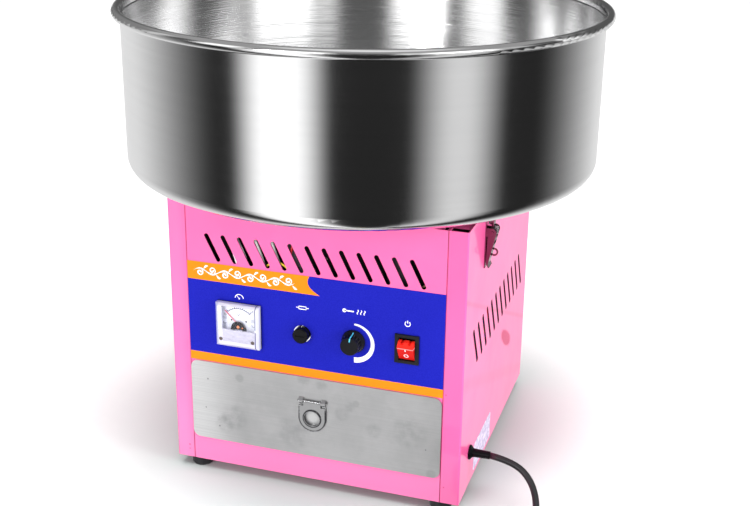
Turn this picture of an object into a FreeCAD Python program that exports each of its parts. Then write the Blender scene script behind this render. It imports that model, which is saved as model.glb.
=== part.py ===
import FreeCAD, Part
import os
import re
from math import atan2, cos, degrees, pi, radians, sin, tan

import Sketcher

# A candy floss machine: a square painted sheet metal case on four rubber feet carries a
# deep spun bowl. The motor hangs under the case's deck and turns the heated head in the
# bowl; a drawer for tools slides out of the case's front.
# Millimetres, +Z up, front is -Y. The origin is on the ground under the spindle.

doc = FreeCAD.newDocument("CandyFlossMachine")
sizes = doc.addObject("Spreadsheet::Sheet", "Sizes")

VALUES = {
    # case
    "case_width": 317, "case_depth": 317, "case_high": 298, "case_shift": 3,
    "sheet": 1.2, "flange": 20, "fold": 12, "rear_flange": 15, "bend_round": 1.9,
    "deck_drop": 1, "seat_gap": 0.3, "deck_hole": 10, "corner_notch": 24,
    "foot_high": 12, "foot_radius": 12, "foot_inset": 22.5, "foot_front_inset": 15.5,
    "screw_radius": 1.6, "screw_long": 5, "screw_head": 2, "screw_in": 8,
    # louvres
    "front_slots": 13, "front_pitch": 18.2, "front_slot_wide": 4.8, "front_slot_rise": 24.8,
    "front_slot_lean": 12.4, "front_slot_top": 273.4, "side_slots": 12, "side_pitch": 20.4,
    "side_slot_wide": 6, "side_slot_rise": 39.6, "side_slot_lean": 21.6, "side_slot_top": 190.8,
    "side_slot_first": -117.9, "rear_slot_wide": 4,
    "rear_slots": 7, "rear_pitch": 12, "rear_slot_long": 90, "rear_slot_top": 130,
    # controls, all on one line across the front
    "control_z": 180.3, "meter_x": -80.5, "fuse_x": -11, "knob_x": 44, "switch_x": 100,
    "overlay_thick": 0.3, "overlay_low": 132, "overlay_high": 243.8,
    "meter_side": 48, "meter_flange": 1.6, "meter_deep": 7.6, "meter_wall": 1.2,
    "meter_barrel": 19.5, "meter_bevel": 3, "meter_back": 24, "meter_stud": 2,
    "meter_stud_long": 12, "meter_stud_gap": 18, "dial_thick": 0.8, "dial_in": 1.5,
    "needle_long": 21, "needle_lean": 45,
    "fuse_radius": 6, "fuse_washer_radius": 9.3, "fuse_cap_radius": 8.3, "fuse_cap_long": 7,
    "knob_skirt": 12.5, "knob_radius": 9.4, "knob_long": 15.5, "knob_collar": 6.5,
    "knob_flutes": 18,
    "pot_radius": 12, "pot_shaft": 3, "run_gap": 0.06,
    "bezel_wide": 25, "bezel_tall": 31, "bezel_thick": 2.2, "rocker_wide": 16.4,
    "rocker_tall": 21.2, "rocker_tilt": 12, "rocker_depth": 4.5, "rocker_room": 1.8,
    "rocker_ridge": 7, "rocker_out": 12.4, "notch_x": 3.9, "notch_wide": 3, "notch_deep": 1.6,
    # drawer
    "drawer_front_wide": 275.6, "drawer_front_low": 40.3, "drawer_front_high": 131.4,
    "drawer_plate": 1.4, "tray_wide": 252, "tray_low": 51.5, "tray_tall": 66.5,
    "tray_long": 250, "tray_wall": 1, "tray_round": 6, "opening_wide": 262,
    "opening_low": 47, "opening_high": 124, "front_round": 8,
    "rail_ledge": 12, "rail_foot": 13, "rail_room": 1, "rail_in": 6, "rail_long": 240,
    "pull_wide": 30, "pull_tall": 34, "pull_thick": 1.4, "pull_hole": 8.5, "pull_lip": 0.8,
    "pull_ear": 5.5, "pull_top": 105, "pull_bar": 1.2, "strap_x": 12.4, "strap_wide": 5,
    "strap_tall": 8,
    # bowl
    "bowl_radius": 251.25, "bowl_tall": 169.8, "bowl_wall": 1.2, "bowl_corner": 15,
    "bead_radius": 4.9, "bead_bite": 0.15, "bowl_gap": 15.8, "neck_radius": 40, "neck_tall": 20,
    "seat_radius": 112, "seat_wide": 12,
    # head and drive
    "spindle_radius": 5, "head_radius": 74, "head_lift": 25,
    "head_skin": 1.5, "hub_radius": 12, "hub_deep": 8, "pan_rim": 10, "well_radius": 28,
    "band_slots": 30, "cap_tall": 9, "cap_thick": 5, "cap_skirt": 8, "cap_step": 2,
    "stud_radius": 2, "nut_radius": 3.8, "nut_tall": 4,
    "band_radius": 66, "band_tall": 17, "slip_radius": 17, "slip_wide": 4, "slip_thick": 1.5,
    "motor_radius": 42, "motor_long": 80, "bell_long": 10, "bracket_side": 110,
    "bracket_thick": 2.5, "cushion_radius": 8, "cushion_tall": 19.3, "bearing_radius": 11,
    "bearing_long": 7,
    # toggle latches
    "latch_y": -76, "latch_wide": 18, "latch_low": 248, "latch_high": 293,
    "pivot_out": 7, "pivot_z": 287, "lever_end": 4.5, "lever_long": 36, "draw_arm": 9,
    "slit_high": 17.3, "slit_low": 30, "slit_wide": 2.8,
    "lip_z": 294, "lip_long": 3.1, "catch_foot": 12, "catch_wide": 16,
    # control board, on posts from the left wall
    "board_off": 8, "board_thick": 1.6, "board_front": -60, "board_long": 80,
    "board_low": 150, "board_tall": 62, "post_radius": 3, "post_in": 6,
    "sink_in": 10, "sink_deep": 19, "sink_long": 28, "sink_tall": 40, "sink_base": 3.4,
    "fin_gap": 2.5, "relay_deep": 15.4, "relay_long": 18, "relay_tall": 27,
    # mains lead
    "cord_radius": 3.5, "gland_y": -114, "gland_z": 52, "gland_long": 22, "gland_wall": 2,
    "gland_flange": 8, "coil_radius": 38.5, "coil_x": 183, "coil_y": -217, "coil_wide": 14,
    "coil_tall": 21, "leave_turn": 290, "tail_long": 38,
    "plug_wide": 28, "plug_tall": 19, "plug_long": 36, "relief_long": 26, "blade_long": 18,
    "blade_pitch": 12.7, "earth_radius": 2.3,
}
for row, (word, value) in enumerate(VALUES.items(), 1):
    sizes.set("A%d" % row, word)
    sizes.set("B%d" % row, str(value))
    sizes.setAlias("B%d" % row, word)
doc.recompute()

# Places that follow from the sizes.
PLACES = {
    "half": "(case_width / 2)",
    "front": "(case_shift - case_depth / 2)",
    "back": "(case_shift + case_depth / 2)",
    "top": "(foot_high + case_high)",
    "deck": "(foot_high + case_high - deck_drop)",
    "floor": "(foot_high + sheet)",
    "face": "(case_shift - case_depth / 2 - overlay_thick)",
    "drawer_back": "(case_shift - case_depth / 2 - seat_gap)",
    "bowl_low": "(foot_high + case_high + bowl_gap)",
    "bowl_top": "(foot_high + case_high + bowl_gap + bowl_tall)",
    "head_low": "(foot_high + case_high + bowl_gap + bowl_wall + head_lift)",
    "slip_low": "(foot_high + case_high - deck_drop + 2)",
    "bracket_top": "(foot_high + case_high - deck_drop - sheet - cushion_tall)",
    "motor_top": "(foot_high + case_high - deck_drop - sheet - cushion_tall - bracket_thick)",
    "motor_low": "(motor_top - motor_long - 2 * bell_long)",
    "band_top": "(head_low + head_skin + band_tall)",
}


KNOWN = {}
spare = doc.addObject("Spreadsheet::Sheet", "Spare")


def full(text):
    """Writes each size's or place's name out as the sheet's own cell."""
    def word(found):
        name = found.group(0)
        if name in PLACES:
            return full(PLACES[name])
        return "Sizes." + name if name in VALUES else name
    return re.sub(r"[a-z_]+[a-z0-9_]*", word, str(text))


def num(text):
    """The value of an expression of sizes and places, worked out on a spare sheet."""
    if text not in KNOWN:
        spare.set("A1", "=" + full(text))
        spare.recompute()
        value = spare.get("A1")
        KNOWN[text] = float(getattr(value, "Value", value))
    return KNOWN[text]


TURNS = {
    "x": FreeCAD.Rotation(FreeCAD.Vector(0, 1, 0), 90),
    "y": FreeCAD.Rotation(FreeCAD.Vector(1, 0, 0), -90),
    "z": FreeCAD.Rotation(),
}
PLANES = {  # the sketch's own x and y run along these axes
    "xy": FreeCAD.Rotation(),
    "xz": FreeCAD.Rotation(FreeCAD.Vector(1, 0, 0), 90),
    "yz": FreeCAD.Rotation(0.5, 0.5, 0.5, 0.5),
}


def bind(thing, links):
    for path, text in links.items():
        thing.setExpression(path, full(text))
    return thing


def put(thing, x=0, y=0, z=0, turn=None):
    if turn is not None:
        thing.Placement = FreeCAD.Placement(FreeCAD.Vector(), turn)
    links = {"Placement.Base.x": x, "Placement.Base.y": y, "Placement.Base.z": z}
    return bind(thing, {path: text for path, text in links.items() if text != 0})


def box(x, y, z):
    """A box from its low and high ends along each axis."""
    thing = doc.addObject("Part::Box", "Box")
    spans = {"Length": x, "Width": y, "Height": z}
    bind(thing, {side: "(%s) - (%s)" % (high, low) for side, (low, high) in spans.items()})
    return put(thing, x[0], y[0], z[0])


def rod(axis, at, span, radius):
    """A cylinder along an axis, at its two other coordinates."""
    thing = doc.addObject("Part::Cylinder", "Rod")
    bind(thing, {"Radius": radius, "Height": "(%s) - (%s)" % (span[1], span[0])})
    place = {"x": (span[0],) + tuple(at), "y": (at[0], span[0], at[1]),
             "z": tuple(at) + (span[0],)}[axis]
    return put(thing, *place, turn=TURNS[axis])


def cone(axis, at, span, low_radius, high_radius):
    thing = doc.addObject("Part::Cone", "Cone")
    bind(thing, {"Radius1": low_radius, "Radius2": high_radius,
                 "Height": "(%s) - (%s)" % (span[1], span[0])})
    place = {"x": (span[0],) + tuple(at), "y": (at[0], span[0], at[1]),
             "z": tuple(at) + (span[0],)}[axis]
    return put(thing, *place, turn=TURNS[axis])


def join(*things):
    thing = doc.addObject("Part::MultiFuse", "Join")
    thing.Shapes = list(things)
    thing.Refine = True
    return thing


def group(*things):
    """Separate solids that make one sub-part."""
    thing = doc.addObject("Part::Compound", "Group")
    thing.Links = list(things)
    return thing


def less(base, *tools):
    thing = doc.addObject("Part::Cut", "Less")
    thing.Base = base
    thing.Tool = tools[0] if len(tools) == 1 else join(*tools)
    thing.Refine = True
    return thing


def ring(axis, at, span, outer, inner):
    low, high = span
    through = ("(%s) - 1" % low, "(%s) + 1" % high)
    return less(rod(axis, at, span, outer), rod(axis, at, through, inner))


def outline(sketch, points):
    """Draws a closed outline whose corners keep to expressions of the sizes."""
    count = len(points)
    spots = [FreeCAD.Vector(num(x), num(y), 0) for x, y in points]
    first = sketch.GeometryCount
    for here, there in zip(spots, spots[1:] + spots[:1]):
        sketch.addGeometry(Part.LineSegment(here, there), False)
    for side in range(count):
        after = (side + 1) % count
        sketch.addConstraint(Sketcher.Constraint("Coincident", first + side, 2,
                                                 first + after, 1))
        for kind, text, value in (("DistanceX", points[side][0], spots[side].x),
                                  ("DistanceY", points[side][1], spots[side].y)):
            place = sketch.addConstraint(Sketcher.Constraint(kind, first + side, 1, value))
            sketch.setExpression("Constraints[%d]" % place, full(text))
    return sketch


def circle(sketch, x, y, radius):
    spot = FreeCAD.Vector(num(x), num(y), 0)
    shape = Part.Circle(spot, FreeCAD.Vector(0, 0, 1), num(radius))
    index = sketch.addGeometry(shape, False)
    for kind, text in (("DistanceX", x), ("DistanceY", y)):
        place = sketch.addConstraint(Sketcher.Constraint(kind, index, 3, num(text)))
        sketch.setExpression("Constraints[%d]" % place, full(text))
    place = sketch.addConstraint(Sketcher.Constraint("Radius", index, num(radius)))
    sketch.setExpression("Constraints[%d]" % place, full(radius))
    return sketch


def slot(sketch, low, high, radius):
    """A round-ended slot between two centres, drawn as two arcs and two tangent lines."""
    ends = [FreeCAD.Vector(num(x), num(y), 0) for x, y in (low, high)]
    run = ends[1] - ends[0]
    angle, reach = atan2(run.y, run.x), num(radius)
    side = FreeCAD.Vector(-sin(angle) * reach, cos(angle) * reach, 0)
    up = FreeCAD.Vector(0, 0, 1)
    first = sketch.GeometryCount
    arcs = [Part.ArcOfCircle(Part.Circle(ends[0], up, reach), angle + pi / 2, angle + 3 * pi / 2),
            Part.ArcOfCircle(Part.Circle(ends[1], up, reach), angle - pi / 2, angle + pi / 2)]
    sketch.addGeometry(arcs[0], False)
    sketch.addGeometry(Part.LineSegment(ends[0] - side, ends[1] - side), False)
    sketch.addGeometry(arcs[1], False)
    sketch.addGeometry(Part.LineSegment(ends[1] + side, ends[0] + side), False)
    for number in range(4):
        after = (number + 1) % 4
        sketch.addConstraint(Sketcher.Constraint("Tangent", first + number, 2, first + after, 1))
    sketch.addConstraint(Sketcher.Constraint("Equal", first, first + 2))
    for index, spot in ((first, low), (first + 2, high)):
        for kind, text in (("DistanceX", spot[0]), ("DistanceY", spot[1])):
            place = sketch.addConstraint(Sketcher.Constraint(kind, index, 3, num(text)))
            sketch.setExpression("Constraints[%d]" % place, full(text))
    place = sketch.addConstraint(Sketcher.Constraint("Radius", first, reach))
    sketch.setExpression("Constraints[%d]" % place, full(radius))
    return sketch


def prism(plane, start, depth, points):
    """An outline in a plane through start, pushed along the plane's third axis."""
    sketch = doc.addObject("Sketcher::SketchObject", "Outline")
    normal = {"xy": "z", "xz": "y", "yz": "x"}[plane]
    put(sketch, **{normal: start}, turn=PLANES[plane])
    outline(sketch, points)
    thing = doc.addObject("Part::Extrusion", "Prism")
    thing.Base = sketch
    thing.DirMode = "Custom"
    thing.Dir = {"x": FreeCAD.Vector(1, 0, 0), "y": FreeCAD.Vector(0, 1, 0),
                 "z": FreeCAD.Vector(0, 0, 1)}[normal]
    thing.Solid = True
    bind(thing, {"LengthFwd": depth})
    return thing


def lathe(points, axis="z", at=(0, 0, 0)):
    """A turned solid: radius and height of each corner, about an axis through a place."""
    sketch = doc.addObject("Sketcher::SketchObject", "Profile")
    put(sketch, turn=PLANES["xz"])
    outline(sketch, points)
    thing = doc.addObject("Part::Revolution", "Turned")
    thing.Source = sketch
    thing.Axis = FreeCAD.Vector(0, 0, 1)
    thing.Base = FreeCAD.Vector(0, 0, 0)
    thing.Angle = 360
    thing.Solid = True
    return put(thing, *at, turn=TURNS[axis])


class Body:
    """A PartDesign body with the few steps that this model needs."""

    def __init__(self):
        self.body = doc.addObject("PartDesign::Body", "Body")
        doc.recompute()

    def axis(self, role):
        return [part for part in self.body.Origin.OriginFeatures if part.Role == role][0]

    def sketch(self, plane, away=0):
        sketch = self.body.newObject("Sketcher::SketchObject", "Sketch")
        sketch.AttachmentSupport = [(self.axis(plane + "_Plane"), "")]
        sketch.MapMode = "FlatFace"
        if away:
            sketch.setExpression("AttachmentOffset.Base.z", full(away))
        return sketch

    def feature(self, kind, sketch, links=None, **settings):
        before = self.body.Shape.Volume if self.body.Tip else 0
        thing = self.body.newObject("PartDesign::" + kind, kind)
        thing.Profile = sketch
        for name, value in settings.items():
            setattr(thing, name, value)
        bind(thing, links or {})
        doc.recompute()
        after = self.body.Shape.Volume
        if abs(after - before) < 1e-6:
            raise RuntimeError("%s changes nothing" % thing.Name)
        return thing

    def row(self, feature, role, count, length):
        """Repeats a feature along an axis."""
        thing = self.body.newObject("PartDesign::LinearPattern", "Row")
        thing.Originals = [feature]
        thing.Direction = (self.axis(role), [""])
        bind(thing, {"Length": length, "Occurrences": count})
        self.body.Tip = thing
        doc.recompute()
        return thing

    def round(self, role, feature, count):
        """Repeats a feature round an axis."""
        thing = self.body.newObject("PartDesign::PolarPattern", "Round")
        thing.Originals = [feature]
        thing.Axis = (self.axis(role), [""])
        thing.Angle = 360
        bind(thing, {"Occurrences": count})
        self.body.Tip = thing
        doc.recompute()
        return thing

    def dress(self, kind, edges, links):
        """A fillet or a chamfer on the edges that a test picks."""
        base = self.body.Tip
        names = ["Edge%d" % number for number, edge in enumerate(base.Shape.Edges, 1)
                 if edges(edge)]
        thing = self.body.newObject("PartDesign::" + kind, kind)
        thing.Base = (base, names)
        bind(thing, links)
        self.body.Tip = thing
        doc.recompute()
        return thing


def upright(edge, x, y):
    """True of an edge along Z at a place."""
    box_of = edge.BoundBox
    return (box_of.ZLength > 5 and abs(box_of.XMin - x) < 0.01 and abs(box_of.XMax - x) < 0.01
            and abs(box_of.YMin - y) < 0.01 and abs(box_of.YMax - y) < 0.01)


def across(side, low, high):
    """A span that is mirrored on the left side."""
    return (low, high) if side > 0 else ("-(%s)" % high, "-(%s)" % low)


NODES = []


def node(name, thing):
    """Gives a sub-part its own name, which its file takes."""
    final = thing.body if isinstance(thing, Body) else thing
    final.Label = name
    NODES.append(final)
    return final


# ---- case ----

def side_panel(side):
    """One bent sheet: wall, front and rear flanges, with a row of slanted louvre slots."""
    panel = Body()
    inner = "half - sheet"
    front_edge = "half - flange"
    corners = [("half", "front"), ("half", "back - sheet"),
               ("half - rear_flange", "back - sheet"),
               ("half - rear_flange", "back - 2 * sheet"), (inner, "back - 2 * sheet"),
               (inner, "front + sheet"), (front_edge + " + sheet", "front + sheet"),
               (front_edge + " + sheet", "front + fold"), (front_edge, "front + fold"),
               (front_edge, "front")]
    if side < 0:
        corners = [("-(%s)" % x, y) for x, y in corners]
    plan = outline(panel.sketch("XY", "foot_high"), corners)
    panel.feature("Pad", plan, {"Length": "case_high"})
    bent = side * num("half"), num("front")
    panel.dress("Fillet", lambda edge: upright(edge, *bent), {"Radius": "bend_round"})
    cutter = slot(panel.sketch("YZ"), ("side_slot_first", "side_slot_top"),
                  ("side_slot_first + side_slot_lean", "side_slot_top - side_slot_rise"),
                  "side_slot_wide / 2")
    hole = panel.feature("Pocket", cutter, Type="ThroughAll", Reversed=side > 0)
    panel.row(hole, "Y_Axis", "side_slots", "(side_slots - 1) * side_pitch")
    return panel


def front_panel():
    """The sheet between the flanges: slots, control holes and the drawer's opening."""
    panel = Body()
    edge, inner = "(half - flange - seat_gap)", "(half - flange - seat_gap - sheet)"
    corners = [(edge, "front"), (edge, "front + fold"), (inner, "front + fold"),
               (inner, "front + sheet"), ("-" + inner, "front + sheet"),
               ("-" + inner, "front + fold"), ("-" + edge, "front + fold"),
               ("-" + edge, "front")]
    panel.feature("Pad", outline(panel.sketch("XY", "foot_high"), corners),
                  {"Length": "case_high"})
    holes = panel.sketch("XZ", "-front")
    wide = "opening_wide / 2"
    outline(holes, [("-" + wide, "opening_low"), (wide, "opening_low"),
                    (wide, "opening_high"), ("-" + wide, "opening_high")])
    circle(holes, "meter_x", "control_z", "meter_barrel + 0.5")
    circle(holes, "fuse_x", "control_z", "fuse_radius + 0.05")
    circle(holes, "knob_x", "control_z", "pot_shaft + 1.55")
    tall, thin = "(bezel_tall / 2 - 2)", "(bezel_wide / 2 - 2)"
    outline(holes, [("switch_x - " + thin, "control_z - " + tall),
                    ("switch_x + " + thin, "control_z - " + tall),
                    ("switch_x + " + thin, "control_z + " + tall),
                    ("switch_x - " + thin, "control_z + " + tall)])
    panel.feature("Pocket", holes, {"Length": "2 * sheet"})
    first = "(-(front_slots - 1) * front_pitch / 2 - front_slot_lean / 2)"
    cutter = slot(panel.sketch("XZ", "-front"), (first, "front_slot_top"),
                  (first + " + front_slot_lean", "front_slot_top - front_slot_rise"),
                  "front_slot_wide / 2")
    louvre = panel.feature("Pocket", cutter, {"Length": "2 * sheet"})
    panel.row(louvre, "X_Axis", "front_slots", "(front_slots - 1) * front_pitch")
    return panel


def rear_panel():
    """A flat sheet over the rear flanges, with level vent slots."""
    panel = Body()
    sheet = panel.sketch("XZ", "-back")
    outline(sheet, [("-half", "foot_high"), ("half", "foot_high"), ("half", "top"),
                    ("-half", "top")])
    panel.feature("Pad", sheet, {"Length": "sheet"})
    cutter = slot(panel.sketch("XZ", "-back"), ("-rear_slot_long / 2", "rear_slot_top"),
                  ("rear_slot_long / 2", "rear_slot_top"), "rear_slot_wide / 2")
    vent = panel.feature("Pocket", cutter, Type="ThroughAll", Midplane=True)
    panel.row(vent, "Z_Axis", "rear_slots", "(rear_slots - 1) * rear_pitch")
    return panel


def tray_sheet(z, folds, hole):
    """A level sheet with its corners notched and its four edges folded over."""
    wide = "(half - sheet)"
    ahead, behind = "front + sheet", "back - sheet"
    notch = "corner_notch"
    flat = prism("xy", z, "sheet", [
        ("-%s + %s" % (wide, notch), ahead), ("%s - %s" % (wide, notch), ahead),
        ("%s - %s" % (wide, notch), "front + fold + 1"), (wide, "front + fold + 1"),
        (wide, "back - 2 * sheet - 1"), ("%s - %s" % (wide, notch), "back - 2 * sheet - 1"),
        ("%s - %s" % (wide, notch), behind), ("-%s + %s" % (wide, notch), behind),
        ("-%s + %s" % (wide, notch), "back - 2 * sheet - 1"),
        ("-" + wide, "back - 2 * sheet - 1"), ("-" + wide, "front + fold + 1"),
        ("-%s + %s" % (wide, notch), "front + fold + 1")])
    reach = "%s - %s" % (wide, notch)
    walls = [box(("-(%s)" % reach, reach), (ahead, ahead + " + sheet"), folds),
             box(("-(%s)" % reach, reach), (behind + " - sheet", behind), folds)]
    for side in (1, -1):
        walls.append(box(across(side, wide + " - sheet", wide),
                         ("front + fold + 4", "back - 2 * sheet - 4"), folds))
    whole = join(flat, *walls)
    return less(whole, *hole) if hole else whole


def foot(side, depth):
    """A tapered rubber foot with a well for its screw."""
    x = ("half - foot_inset") if side > 0 else ("-(half - foot_inset)")
    y = "front + foot_front_inset" if depth < 0 else "back - foot_front_inset"
    profile = [("4.5", "0"), ("foot_radius - 1", "0"), ("foot_radius", "1.5"),
               ("foot_radius", "foot_high"), ("0", "foot_high"), ("0", "foot_high - 5"),
               ("4.5", "foot_high - 5")]
    return lathe(profile, at=(x, y, 0))


SCREW_SPOTS = [(x, z) for x in ("-half + screw_in", "-half / 3", "half / 3", "half - screw_in")
               for z in ("foot_high + screw_in", "top - screw_in - deck_drop")]


def case_screws():
    """The eight round-headed screws that hold the rear panel."""
    dome = ("screw_radius * 2", "screw_long"), ("screw_radius * 2", "screw_long + 1")
    return group(*[lathe([("0", "0"), ("screw_radius", "0"), ("screw_radius", "screw_long"),
                          *dome, ("screw_radius * 1.4", "screw_long + screw_head"),
                          ("0", "screw_long + screw_head")], "y", (x, "back - screw_long", z))
                   for x, z in SCREW_SPOTS])


def bored(piece):
    """Bores a sheet for each of the rear panel's screws."""
    base = piece.body if isinstance(piece, Body) else piece
    return less(base, *[rod("y", spot, ("back - fold", "back + 1"), "screw_radius + run_gap")
                        for spot in SCREW_SPOTS])


def gland_hole(panel):
    """Bores the right wall for the gland."""
    return less(panel, rod("x", ("gland_y", "gland_z"), ("half - 5", "half + 5"),
                           "cord_radius + gland_wall"))


node("side_panel_left", bored(side_panel(-1)))
node("side_panel_right", gland_hole(bored(side_panel(1))))
node("front_panel", front_panel())
node("rear_panel", bored(rear_panel()))
node("top_deck", bored(tray_sheet("deck - sheet", ("deck - fold", "deck"),
                                  [rod("z", (0, 0), ("deck - 5", "deck + 5"), "deck_hole")])))
node("base_plate", bored(tray_sheet("foot_high", ("foot_high", "foot_high + fold"), [])))
for name, side, depth in (("foot_front_left", -1, -1), ("foot_front_right", 1, -1),
                          ("foot_rear_left", -1, 1), ("foot_rear_right", 1, 1)):
    node(name, foot(side, depth))
node("case_screws", case_screws())


# ---- front controls ----

def front_overlay():
    """A printed skin on the front panel, cut out round each control."""
    wide = "(half - flange - seat_gap)"
    skin = box(("-" + wide, wide), ("face", "front"), ("overlay_low", "overlay_high"))
    span = ("face - 1", "front + 1")
    window_x = ("switch_x - bezel_wide / 2 + 1", "switch_x + bezel_wide / 2 - 1")
    window_z = ("control_z - bezel_tall / 2 + 1", "control_z + bezel_tall / 2 - 1")
    return less(skin, rod("y", ("meter_x", "control_z"), span, "meter_barrel + 0.5"),
                rod("y", ("fuse_x", "control_z"), span, "fuse_radius + 0.5"),
                rod("y", ("knob_x", "control_z"), span, "pot_shaft + 2"),
                box(window_x, span, window_z))


def square(reach, y):
    """A box about the meter's centre."""
    return box(("meter_x - " + reach, "meter_x + " + reach), y,
               ("control_z - " + reach, "control_z + " + reach))


def meter_case():
    """The flange on the panel and the round barrel behind it, with two terminal studs."""
    flange = square("meter_side / 2", ("face - meter_flange", "face"))
    back = "front + meter_back"
    barrel = rod("y", ("meter_x", "control_z"), ("face", back), "meter_barrel")
    studs = [rod("y", ("meter_x + %d * meter_stud_gap / 2" % side, "control_z"),
                 (back, back + " + meter_stud_long"), "meter_stud") for side in (-1, 1)]
    return join(flange, barrel, *studs)


def meter_cover():
    """A clear moulded box with bevelled front edges."""
    cover = Body()
    back = "-(face - meter_flange)"
    reach = "meter_side / 2"
    base = cover.sketch("XZ", back)
    outline(base, [("meter_x - " + reach, "control_z - " + reach),
                   ("meter_x + " + reach, "control_z - " + reach),
                   ("meter_x + " + reach, "control_z + " + reach),
                   ("meter_x - " + reach, "control_z + " + reach)])
    cover.feature("Pad", base, {"Length": "meter_deep"})
    y = num("face - meter_flange - meter_deep")
    cover.dress("Chamfer", lambda edge: abs(edge.BoundBox.YMin - y) < 0.01
                and edge.BoundBox.YLength < 0.01, {"Size": "meter_bevel"})
    reach = "(meter_side / 2 - meter_wall)"
    room = cover.sketch("XZ", back)
    outline(room, [("meter_x - " + reach, "control_z - " + reach),
                   ("meter_x + " + reach, "control_z - " + reach),
                   ("meter_x + " + reach, "control_z + " + reach),
                   ("meter_x - " + reach, "control_z + " + reach)])
    cover.feature("Pocket", room, {"Length": "meter_deep - meter_bevel"}, Reversed=True)
    reach = "(meter_side / 2 - meter_wall - meter_bevel)"
    deep = cover.sketch("XZ", back)
    outline(deep, [("meter_x - " + reach, "control_z - " + reach),
                   ("meter_x + " + reach, "control_z - " + reach),
                   ("meter_x + " + reach, "control_z + " + reach),
                   ("meter_x - " + reach, "control_z + " + reach)])
    cover.feature("Pocket", deep, {"Length": "meter_deep - meter_wall"}, Reversed=True)
    return cover


DIAL = "face - meter_flange - dial_thick"


def meter_dial():
    return square("(meter_side / 2 - meter_wall - dial_in)", (DIAL, "face - meter_flange"))


def meter_needle():
    """A thin pointer on a small hub, at the zero end of its scale."""
    hub = rod("y", ("meter_x", "control_z"), (DIAL + " - 2.1", DIAL + " - 0.3"), "1.7")
    tip_x, tip_z = "needle_long * sin(needle_lean)", "needle_long * cos(needle_lean)"
    points = [("meter_x - 0.35", "control_z - 0.35"), ("meter_x + 0.35", "control_z + 0.35"),
              ("meter_x - %s + 0.2" % tip_x, "control_z + %s + 0.2" % tip_z),
              ("meter_x - %s - 0.2" % tip_x, "control_z + %s - 0.2" % tip_z)]
    pointer = prism("xz", DIAL + " - 1.5", "0.6", points)
    return join(hub, pointer)


def meter_shroud():
    """The half-round cover of the moving coil, on two legs that stand on the dial."""
    front, back = DIAL + " - 3.3", DIAL + " - 2.4"
    disc = rod("y", ("meter_x", "control_z - 3"), (front, back), "7.5")
    lower = box(("meter_x - 9", "meter_x + 9"), (DIAL + " - 9", DIAL), ("control_z - 14",
                                                                       "control_z - 4"))
    half_disc = less(disc, lower)
    legs = [box(("meter_x + %s" % low, "meter_x + %s" % high), (front, DIAL),
                ("control_z - 7", "control_z - 3.4"))
            for low, high in ((-8, -5), (5, 8))]
    return join(half_disc, *legs)


def fuse_holder():
    """The threaded barrel behind the panel and its nut."""
    barrel = rod("y", ("fuse_x", "control_z"), ("face - 1.2", "front + 26"), "fuse_radius")
    nut = rod("y", ("fuse_x", "control_z"), ("front + sheet", "front + sheet + 3"),
              "fuse_washer_radius - 1")
    tag = rod("y", ("fuse_x", "control_z"), ("front + 26", "front + 34"), "1.5")
    return join(barrel, nut, tag)


def fuse_cap():
    """The round cap, ribbed round its side, with a screwdriver slot."""
    low, high = "face - 1.5 - fuse_cap_long", "face - 1.5"
    cap = lathe([("0", "0"), ("fuse_cap_radius - 1", "0"), ("fuse_cap_radius", "1"),
                 ("fuse_cap_radius", "fuse_cap_long"), ("0", "fuse_cap_long")],
                "y", ("fuse_x", low, "control_z"))
    cut = box(("fuse_x - 5", "fuse_x + 5"), (low + " - 1", low + " + 1.2"),
              ("control_z - 0.6", "control_z + 0.6"))
    return less(cap, cut)


def heat_knob():
    """A skirted knob with flutes round its grip, bored for the control's shaft."""
    knob = Body()
    profile = outline(knob.sketch("XZ"), [
        ("pot_shaft + run_gap", "0"), ("knob_skirt - 0.3", "0"), ("knob_skirt", "1"),
        ("knob_skirt - 0.5", "3.4"), ("knob_radius + 1", "knob_collar"),
        ("knob_radius", "knob_long - 0.8"),
        ("knob_radius - 0.8", "knob_long"), ("0", "knob_long"),
        ("0", "knob_long - 2.5"), ("pot_shaft + run_gap", "knob_long - 2.5")])
    turned = knob.feature("Revolution", profile, ReferenceAxis=(profile, ["V_Axis"]))
    groove = knob.sketch("XY", "knob_collar")
    circle(groove, "knob_radius + 0.9", "0", "1.2")
    flute = knob.feature("Pocket", groove, {"Length": "knob_long"}, Reversed=True)
    knob.round("Z_Axis", flute, "knob_flutes")
    body = knob.body
    body.Placement = FreeCAD.Placement(FreeCAD.Vector(),
                                       FreeCAD.Rotation(FreeCAD.Vector(1, 0, 0), 90))
    bind(body, {"Placement.Base.x": "knob_x", "Placement.Base.y": "face - seat_gap",
                "Placement.Base.z": "control_z"})
    return knob


def potentiometer():
    """The control behind the knob: a round can, a threaded bush and a shaft."""
    at = ("knob_x", "control_z")
    can = rod("y", at, ("front + sheet", "front + 13"), "pot_radius")
    bush = rod("y", at, ("face", "front + sheet"), "pot_shaft + 1.5")
    shaft = rod("y", at, ("face - seat_gap - knob_long + 3", "face"), "pot_shaft")
    tags = box(("knob_x - 8", "knob_x + 8"), ("front + 5", "front + 6"),
               ("control_z - pot_radius - 8", "control_z - pot_radius + 2"))
    return join(can, bush, shaft, tags)


PIVOT = "(front + rocker_depth)"


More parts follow.
